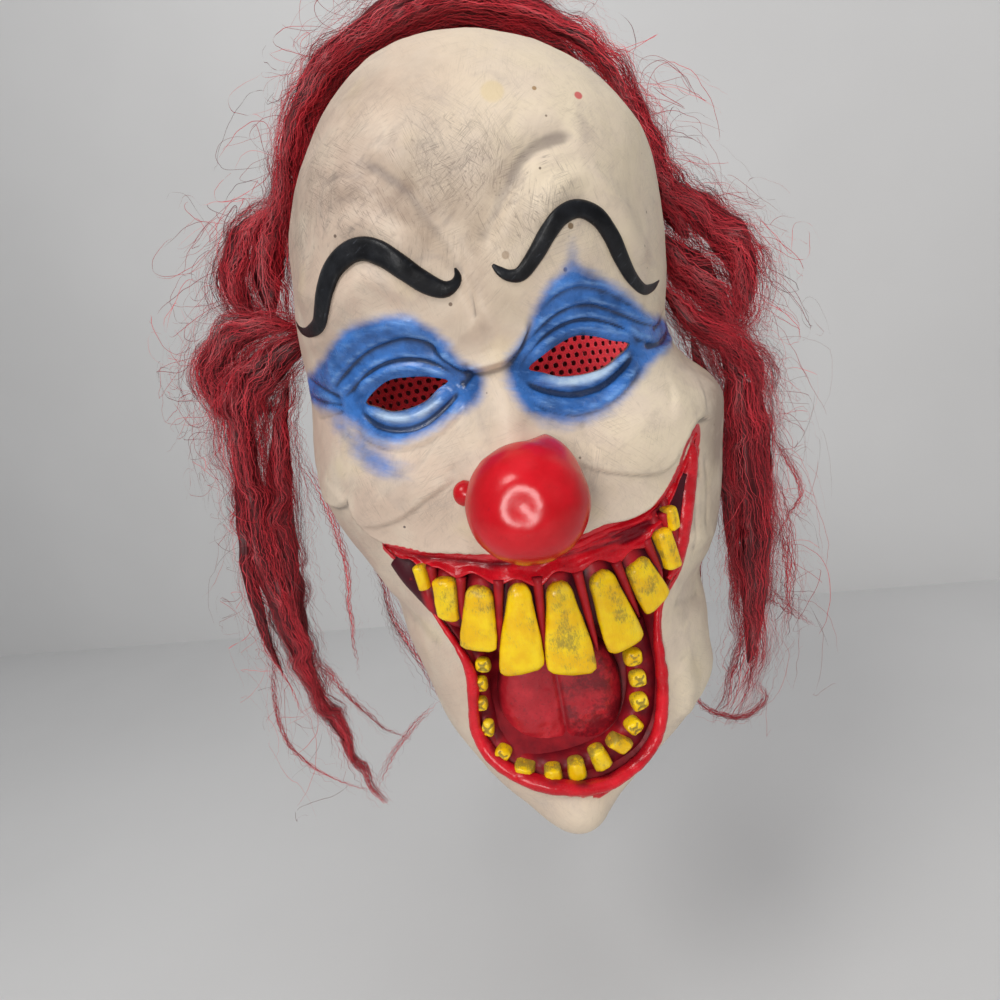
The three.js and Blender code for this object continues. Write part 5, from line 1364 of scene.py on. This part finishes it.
def makeCap():
    rowLine = headPoint(capRows, head["capDeep"], np.zeros(400), np.linspace(0, len(capRows) - 1, 400))
    run = np.concatenate([[0], np.cumsum(np.linalg.norm(np.diff(rowLine, axis=0), axis=1))])
    wide = 2 * head["half"] * capNet["spread"]
    pitch = capNet["pitch"]
    rows, cols = int(run[-1] / (pitch * 0.866)) - 1, int(wide / pitch) - 1
    corners = {}
    points, faces = [], []

    def corner(u, v):
        key = (round(u * 50), round(v * 50))
        if key not in corners:
            corners[key] = len(points)
            points.append((u, v))
        return corners[key]

    rims = []
    for i in range(rows):
        for j in range(cols - (i % 2)):
            u, v = (j + 0.5 + 0.5 * (i % 2)) * pitch, (i + 0.8) * pitch * 0.866
            outer, inner = [], []
            for k in range(6):
                a = math.radians(60 * k + 30)
                r = pitch / math.sqrt(3)
                outer.append(corner(u + r * math.cos(a), v + r * math.sin(a)))
                points.append((u + r * capNet["hole"] * math.cos(a), v + r * capNet["hole"] * math.sin(a)))
                inner.append(len(points) - 1)
            for k in range(6):
                m = (k + 1) % 6
                faces.append([outer[k], outer[m], inner[m], inner[k]])
                rims.append((inner[k], inner[m]))
    flat = np.array(points)
    stations = np.interp(flat[:, 1], run, np.linspace(0, len(capRows) - 1, 400))
    side = np.clip(2 * flat[:, 0] / (cols * pitch + pitch * 0.5) - 1, -1, 1)
    surface = headPoint(capRows, head["capDeep"], side, stations)
    normal = headNormal(capRows, head["capDeep"], side, stations)
    outerPoints = surface + normal * capNet["lift"]
    innerPoints = outerPoints + normal * capNet["thick"]
    size = len(flat)
    allFaces = faces + [[v + size for v in face[::-1]] for face in faces]
    allFaces += [[b, a, a + size, b + size] for a, b in rims]
    edges = dict.fromkeys((a, b) for face in faces for a, b in zip(face, face[1:] + face[:1]))
    rimSet = set(rims) | {(b, a) for a, b in rims}
    border = [(a, b) for a, b in edges if (b, a) not in edges and (a, b) not in rimSet]
    allFaces += [[b, a, a + size, b + size] for a, b in border]
    material, tree, shader = newMaterial("redMesh", Roughness=0.7, Sheen_Weight=0.3, Sheen_Roughness=0.5)
    weave = node(tree, "TexVoronoi", {"feature": "F1"}, Vector=node(tree, "TexCoord", out=3), Scale=1500.0)
    tone = between(tree, grain(tree, 60, 3), 0.35, 0.65)
    red = mix(tree, tone, (0.78, 0.02, 0.04), (0.92, 0.035, 0.06))
    woven = mix(tree, between(tree, weave, 0.2, 0.8, 0, 0.4), red, (0.2, 0.008, 0.014))
    join(tree, woven, shader, "Base Color")
    bump(tree, shader, weave, 0.5, 0.0004)
    points3 = np.concatenate([outerPoints, innerPoints])
    pieceFrom("meshCap", points3, outwardFirst(points3, allFaces), material, ["mesh_cap"],
              sharp=True)
    print("cap has", len(allFaces), "faces")


makeCap()

# Hair
def hairMaterial(name, light, dark):
    material, tree, shader = newMaterial(name, Roughness=0.42, Specular_IOR_Level=0.4, Sheen_Weight=0.1,
                                         Sheen_Roughness=0.4)
    tone = plus(tree, mark(tree, "tint"), times(tree, less(tree, grain(tree, 38, 3), 0.5), 0.7), clamp=True)
    join(tree, mix(tree, tone, dark, light), shader, "Base Color")
    return material


# Each lock follows a line (x, y, z), with a radius at its root, middle and end, and a share of the strands.
hairLocks = {
    "hairLeft": ["hair_left", [
        ([(-84, 2, -30), (-90, 2, -50), (-100, 4, -64), (-108, 6, -86), (-108, 8, -110)], (7, 11, 14, 13), 9),
        ([(-90, 2, -50), (-103, 2, -54), (-116, 4, -62), (-124, 6, -78), (-123, 8, -92), (-112, 6, -106)],
         (7, 10, 12, 10), 9),
        ([(-96, 4, -110), (-112, 0, -104), (-132, 0, -108), (-148, 4, -124), (-147, 8, -144),
          (-136, 10, -158)], (9, 12, 12, 8), 13),
        ([(-90, 8, -114), (-108, 5, -120), (-129, 5, -134), (-142, 8, -154), (-146, 10, -180)],
         (15, 17, 14, 10), 12),
        ([(-134, 4, -128), (-142, 6, -158), (-145, 8, -190), (-147, 8, -224), (-146, 6, -256),
          (-143, 6, -290), (-137, 4, -322), (-129, 2, -352), (-120, 2, -380), (-116, 2, -392)],
          (12, 16, 15, 14, 11, 8, 6, 4, 2.2), 26),
        ([(-112, 14, -136), (-124, 14, -166), (-132, 14, -200), (-137, 12, -236), (-139, 10, -268),
          (-138, 8, -300), (-130, 6, -336)], (9, 12, 11, 9, 6), 17),
        ([(-150, 4, -276), (-161, 4, -306), (-164, 4, -338), (-156, 4, -364), (-138, 4, -382),
          (-121, 2, -391)], (2.4, 1.4, 1.0), 0.9),
        ([(-118, 18, -172), (-110, 20, -206), (-106, 20, -244), (-110, 20, -282), (-115, 18, -322)],
         (4, 2.4, 1.2), 1.2),
        ([(-136, 6, -290), (-124, 8, -320), (-108, 10, -350), (-98, 14, -362)], (4, 2, 1), 0.6),
        ([(-74, 18, -352), (-90, 14, -362), (-104, 8, -374), (-115, 4, -390)], (2.5, 2, 1.5), 0.5),
        ([(-150, 6, -180), (-156, 4, -230), (-158, 4, -280), (-150, 4, -320)], (6, 7, 3), 2),
    ]],
    "hairRight": ["hair_right", [
        ([(88, 0, -26), (97, 0, -46), (103, 2, -66), (112, 4, -88), (122, 8, -110)], (7, 9, 11, 12), 8),
        ([(98, 0, -62), (112, 0, -76), (130, 2, -94), (143, 4, -112), (145, 6, -130), (136, 8, -146),
          (121, 6, -148)], (9, 13, 15, 11), 15),
        ([(98, 6, -92), (112, 8, -110), (126, 8, -128), (138, 8, -156)], (12, 16, 14), 11),
        ([(100, 2, -122), (113, 0, -142), (131, 2, -156), (145, 4, -174), (149, 6, -200)], (9, 12, 10), 12),
        ([(130, 6, -150), (137, 8, -186), (137, 8, -226), (138, 8, -262), (135, 8, -300), (130, 6, -338),
          (121, 4, -368), (114, 4, -380)], (13, 15, 14.5, 14.5, 14.5, 14, 10), 26),
        ([(146, 8, -176), (149, 10, -208), (147, 10, -242), (142, 10, -280), (136, 8, -318)], (7, 8, 5), 9),
        ([(116, 14, -152), (123, 14, -196), (127, 12, -240), (126, 10, -284), (124, 8, -330)], (9, 8, 6), 10),
        ([(150, 6, -208), (159, 6, -226), (166, 6, -242), (167, 6, -254), (160, 6, -262), (152, 6, -274)],
         (2.6, 1.6, 0.9), 0.8),
        ([(124, 4, -364), (134, 4, -378), (122, 4, -388), (104, 4, -384), (92, 4, -372), (88, 6, -362)],
         (3, 2, 1.0), 1.2),
        ([(138, 8, -300), (152, 8, -322), (166, 8, -334)], (4, 3, 1.2), 0.6),
        ([(152, 8, -240), (158, 8, -280), (156, 8, -316), (148, 6, -344)], (5, 6, 3), 1.6),
    ]],
    "hairTop": ["hair_top", [
        ([(-90, 6, -58), (-86, 4, -38), (-76, 2, -16), (-60, 0, 4), (-36, -2, 18), (-6, -2, 25),
          (26, -2, 24), (54, 0, 16), (76, 0, 0), (92, 2, -24), (101, 4, -50), (104, 6, -66)],
          (8, 9, 10, 10, 9, 9, 10), 30),
        ([(-84, 14, -40), (-64, 14, -2), (-28, 12, 20), (18, 12, 24), (60, 14, 10), (90, 16, -26)],
         (8, 11, 8), 16),
        ([(84, 0, -14), (94, 0, -32), (101, 2, -52), (105, 4, -74)], (7, 9, 8), 5),
        ([(-50, -4, 12), (-24, -4, 22), (4, -4, 26), (32, -4, 24), (56, -4, 13)], (6, 8, 6), 10),
        ([(-80, 20, -60), (-78, 22, -34), (-62, 22, -9), (-34, 22, 6), (0, 22, 11), (34, 22, 6),
          (62, 22, -9), (82, 20, -34), (90, 18, -60)], (9, 12, 12, 9), 14),
    ]],
    "hairBack": ["hair_back", [
        ([(-70, 50, -62), (-78, 62, -100), (-80, 64, -160), (-78, 60, -230), (-74, 56, -310),
          (-72, 50, -350)], (12, 16, 15, 12, 6), 13),
        ([(-46, 66, -56), (-50, 78, -96), (-50, 82, -160), (-50, 80, -240), (-46, 76, -320),
          (-44, 70, -358)], (13, 17, 17, 14, 8), 13),
        ([(-16, 74, -50), (-18, 82, -90), (-18, 84, -160), (-16, 82, -240), (-16, 80, -310),
          (-14, 78, -346)], (13, 18, 18, 14, 8), 13),
        ([(16, 74, -50), (18, 82, -90), (18, 84, -160), (18, 82, -240), (16, 80, -320), (16, 78, -352)],
         (13, 18, 18, 14, 8), 13),
        ([(46, 66, -56), (50, 78, -96), (50, 82, -160), (50, 80, -240), (48, 76, -320), (46, 70, -360)],
         (13, 17, 17, 14, 8), 13),
        ([(72, 50, -62), (80, 62, -100), (82, 64, -160), (80, 60, -230), (78, 56, -310), (76, 50, -346)],
         (12, 16, 15, 12, 6), 13),
        ([(-90, 34, -240), (-88, 38, -290), (-78, 40, -330), (-70, 40, -356)], (4, 4, 2), 2),
        ([(106, 30, -210), (112, 34, -256), (110, 36, -300), (98, 38, -346)], (5, 5, 2), 2),
        ([(-64, 56, -60), (-34, 74, -50), (0, 80, -46), (34, 74, -50), (66, 56, -60)], (14, 16, 14), 16),
        ([(-84, 36, -70), (-72, 58, -84), (-60, 66, -130)], (12, 16, 12), 5),
        ([(86, 36, -70), (74, 58, -84), (62, 66, -130)], (12, 16, 12), 5),
        ([(58, 66, -84), (63, 76, -120), (66, 77, -170), (64, 74, -230)], (14, 16, 12), 5),
        ([(-58, 66, -84), (-63, 76, -120), (-66, 77, -170), (-64, 74, -230)], (14, 16, 12), 5),
    ]],
}
hairLook = {"strands": {"hairLeft": 3050, "hairRight": 3050, "hairTop": 2250, "hairBack": 2400},
            "stations": 24, "width": 0.3, "crimp": 0.85, "wave": 6.0, "stray": 0.24, "long": (44, 98),
            "looseHairs": 500, "looseWidth": 0.22, "standsOut": (9, 9, 9), "hangsLower": 5, "coreRings": 36,
            "lockRings": 41, "coreAround": 22, "coreShare": {"hairLeft": 0.6, "hairRight": 0.6,
                                                             "hairTop": 0.66, "hairBack": 1.06}}


def widthAt(radius, share):
    return np.interp(share, np.linspace(0, 1, len(radius)), radius)


def frameAlong(path):
    along = unit(np.gradient(path, axis=0))
    side = unit(np.cross(along, np.array([0.05, 1.0, 0.02])))
    return along, side, unit(np.cross(side, along))


def lockCore(line, radius, part, seed):
    # the lock's tip is strands alone, so its core stops short of it
    count, whole = hairLook["coreRings"], hairLook["lockRings"]
    path = curve(line, whole)[:count]
    share = np.linspace(0, (count - 1) / (whole - 1), count)
    reach = widthAt(radius, share) * part * np.sin(math.pi * np.linspace(0.01, 0.99, count)) ** 0.6
    along, side, out = frameAlong(path)
    angle = np.linspace(0, 2 * math.pi, hairLook["coreAround"], endpoint=False)
    turn = angle[None] + share[:, None] * 2.5
    ridges = 1 + 0.14 * np.sin(5 * turn + seed) + 0.1 * np.sin(9 * turn + 2 * seed)
    size = reach[:, None] * ridges
    rings = path[:, None] + side[:, None] * (size * np.cos(angle))[..., None]
    rings = rings + out[:, None] * (size * np.sin(angle) * 0.85)[..., None]
    swell = np.stack([lumps(rings, 11, seed + 5 * k) for k in range(3)], -1)
    rings = rings + 2.4 * swell * np.minimum(1, reach / 8)[:, None, None]
    points, faces = tube(rings)
    # painted shade: the core's twisted grooves are darker than its raised twists
    tint = np.concatenate([(0.12 + 0.3 * (ridges - 1) * 3).ravel(), [0.1, 0.1]])
    return points, outwardFirst(points, faces), np.clip(tint, 0, 1)


def strandsOf(locks, count, seed, stations, wildShare):
    # Thin crimped strands that follow the locks, each a ribbon that faces away from its lock.
    random = np.random.default_rng(seed)
    shares = np.array([lock[2] for lock in locks], float)
    counts = np.round(count * shares / shares.sum()).astype(int)
    allPoints, allTints = [], []
    for k, (line, radius, _) in enumerate(locks):
        n = counts[k]
        path = curve(line, 160)
        length = np.linalg.norm(np.diff(path, axis=0), axis=1).sum()
        along, side, out = frameAlong(path)
        span = np.clip(random.uniform(*hairLook["long"], n) / length, 0.1, 1.0)
        start = -0.12 + random.uniform(0, 1, n) ** 1.2 * (1.14 - span * 0.85)
        s = start[:, None] + span[:, None] * np.linspace(0, 1, stations)[None]
        inside = np.clip(s, 0, 1)
        pick = inside * 159
        lowIndex = np.floor(pick).astype(int).clip(0, 158)
        w = (pick - lowIndex)[..., None]
        centre, sideAt, outAt, alongAt = [
            rows[lowIndex] * (1 - w) + rows[lowIndex + 1] * w for rows in (path, side, out, along)
        ]
        centre = centre + alongAt * ((s - inside) * length)[..., None]
        wild = random.uniform(0, 1, n) < wildShare
        spread = np.where(wild, random.uniform(1.0, 1.5, n), np.sqrt(random.uniform(0.25, 1.0, n)) * 1.04)
        turned = random.uniform(0, 2 * math.pi, n)[:, None]
        twist = random.uniform(-1.4, 1.4, n)[:, None] + 0.8
        theta = turned + twist * (s - s[:, :1])
        reach = widthAt(radius, inside) * spread[:, None]
        flare = np.where(wild, 1.0, 0.0)[:, None] * np.linspace(0, 1, stations)[None] ** 2
        reach = reach + flare * random.uniform(2, 10, n)[:, None]
        outward = sideAt * np.cos(theta)[..., None] + outAt * np.sin(theta)[..., None]
        points = centre + outward * reach[..., None]
        swirl = np.stack([lumps(points, 13, seed + 31 + c) for c in range(3)], -1)
        points = points + swirl * np.minimum(4.2, 0.34 * max(radius))
        phase = random.uniform(0, 2 * math.pi, n)[:, None]
        wave = hairLook["wave"] * random.uniform(0.8, 1.5, n)[:, None]
        swing = hairLook["crimp"] * random.uniform(0.35, 1.0, n)[:, None] * np.where(wild, 1.6, 1.0)[:, None]
        far = s * length
        points = points + sideAt * (swing * np.sin(2 * math.pi * far / wave + phase))[..., None]
        outwardWave = np.cos(2 * math.pi * far / (wave * 1.13) + phase * 1.7)
        points = points + outAt * (swing * 0.8 * outwardWave)[..., None]
        ribbons(points, outward, random, wild, allPoints, allTints, hairLook["width"])
    return np.concatenate(allPoints), np.concatenate(allTints)


def ribbons(points, outward, random, wild, allPoints, allTints, width):
    n, stations = points.shape[:2]
    heading = unit(np.gradient(points, axis=1))
    over = unit(np.cross(heading, outward))
    taper = np.sin(math.pi * np.clip(np.linspace(0, 1, stations), 0.02, 0.98)) ** 0.5
    thinner = np.where(wild, 0.6, 1.0)[:, None]
    half = 0.5 * width * random.uniform(0.6, 1.3, n)[:, None] * taper[None] * thinner
    pairs = np.stack([points - over * half[..., None], points + over * half[..., None]], 2)
    allPoints.append(pairs.reshape(-1, 3))
    tint = np.clip(random.normal(0.44, 0.31, n), 0.02, 1)[:, None] * (0.75 + 0.25 * taper[None])
    allTints.append(np.repeat(tint.reshape(-1), 2))


def ribbonFaces(total, stations):
    strands = total // (2 * stations)
    base = (np.arange(strands)[:, None] * 2 * stations + np.arange(stations - 1)[None] * 2).reshape(-1)
    return np.stack([base, base + 1, base + 3, base + 2], -1).tolist()


def keepInside(points):
    # the hair stands out of the model's box by no more than this
    sideways, ahead, above = hairLook["standsOut"]
    lowest = np.array(cadBox[0]) / mm - (sideways, ahead, hairLook["hangsLower"])
    highest = np.array(cadBox[1]) / mm + (sideways, ahead, above)
    return np.clip(points, lowest, highest)


def strayHairs(count, seed, stations=36):
    # Single loose hairs that curl away from the outer locks.
    random = np.random.default_rng(seed)
    roots = []
    for name, (_, locks) in hairLocks.items():
        if name == "hairBack":
            continue
        for line, radius, share in locks:
            if max(radius) > 6:
                roots.append((curve(line, 60), max(radius)))
    starts = np.empty((count, 3))
    away = np.empty((count, 3))
    middle = np.array([0, 20, -190])
    for i in range(count):
        path, reach = roots[random.integers(len(roots))]
        k = random.integers(4, 56)
        out = path[k] - middle
        out = unit(out * (1, 0.4, 1) + random.normal(0, 60, 3) * (1, 0.7, 1))
        starts[i] = path[k] + out * reach * 0.8
        away[i] = out
    steps = np.linspace(0, 1, stations)[None, :, None]
    length = random.uniform(18, 74, count)[:, None, None]
    sideways = unit(np.cross(away, random.normal(0, 1, (count, 3))))
    third = np.cross(away, sideways)
    turns = random.uniform(0.3, 1.3, count)[:, None, None] * 2 * math.pi
    size = random.uniform(4, 17, count)[:, None, None]
    droop = np.array([0, 0, -1.0]) * length * 0.4 * steps**2
    points = starts[:, None] + away[:, None] * length * 0.62 * steps + droop
    points = points + sideways[:, None] * size * (np.cos(turns * steps) - 1)
    points = points + third[:, None] * size * np.sin(turns * steps)
    points = points + 0.9 * np.stack([lumps(points, 6, seed + c) for c in range(3)], -1)
    allPoints, allTints = [], []
    outward = unit(random.normal(0, 1, (count, 1, 3)) + (0, -1.5, 0)) + 0 * points
    ribbons(points, outward, random, np.zeros(count, bool), allPoints, allTints, hairLook["looseWidth"])
    return np.concatenate(allPoints), np.concatenate(allTints), stations


def makeHair():
    material = hairMaterial("crimpedHair", (0.82, 0.044, 0.066), (0.11, 0.006, 0.010))
    # the lock cores stand for the dense inside of each lock and are coloured much darker than the strands, as
    # painted shade
    under = hairMaterial("shadedHairUnderneath", (0.26, 0.010, 0.018), (0.06, 0.003, 0.006))
    stations = hairLook["stations"]
    thinned = 1
    for i, (name, (cadNode, locks)) in enumerate(hairLocks.items()):
        count = hairLook["strands"][name] // thinned
        part = hairLook["coreShare"][name]
        thick = [(k, lock) for k, lock in enumerate(locks) if max(lock[1]) > 6]
        cores = [lockCore(line, radius, part, 90 + 7 * k + i) for k, (line, radius, _) in thick]
        points, faces = merged([core[:2] for core in cores])
        tints = np.concatenate([core[2] for core in cores])
        pieceFrom(name + "Core", keepInside(points), faces, under, (), {"tint": tints},
                  raised=False)
        points, tints = strandsOf(locks, count, 200 + i, stations, hairLook["stray"])
        pieceFrom(name, keepInside(points), ribbonFaces(len(points), stations), material, [cadNode],
                  {"tint": tints}, raised=False)
        print(name, "has", len(points) // (2 * stations), "strands")
    points, tints, stations = strayHairs(hairLook["looseHairs"] // thinned, 500)
    pieceFrom("strayHairs", keepInside(points), ribbonFaces(len(points), stations), material, (),
              {"tint": tints}, raised=False)


makeHair()
print("hair done")

low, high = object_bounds()
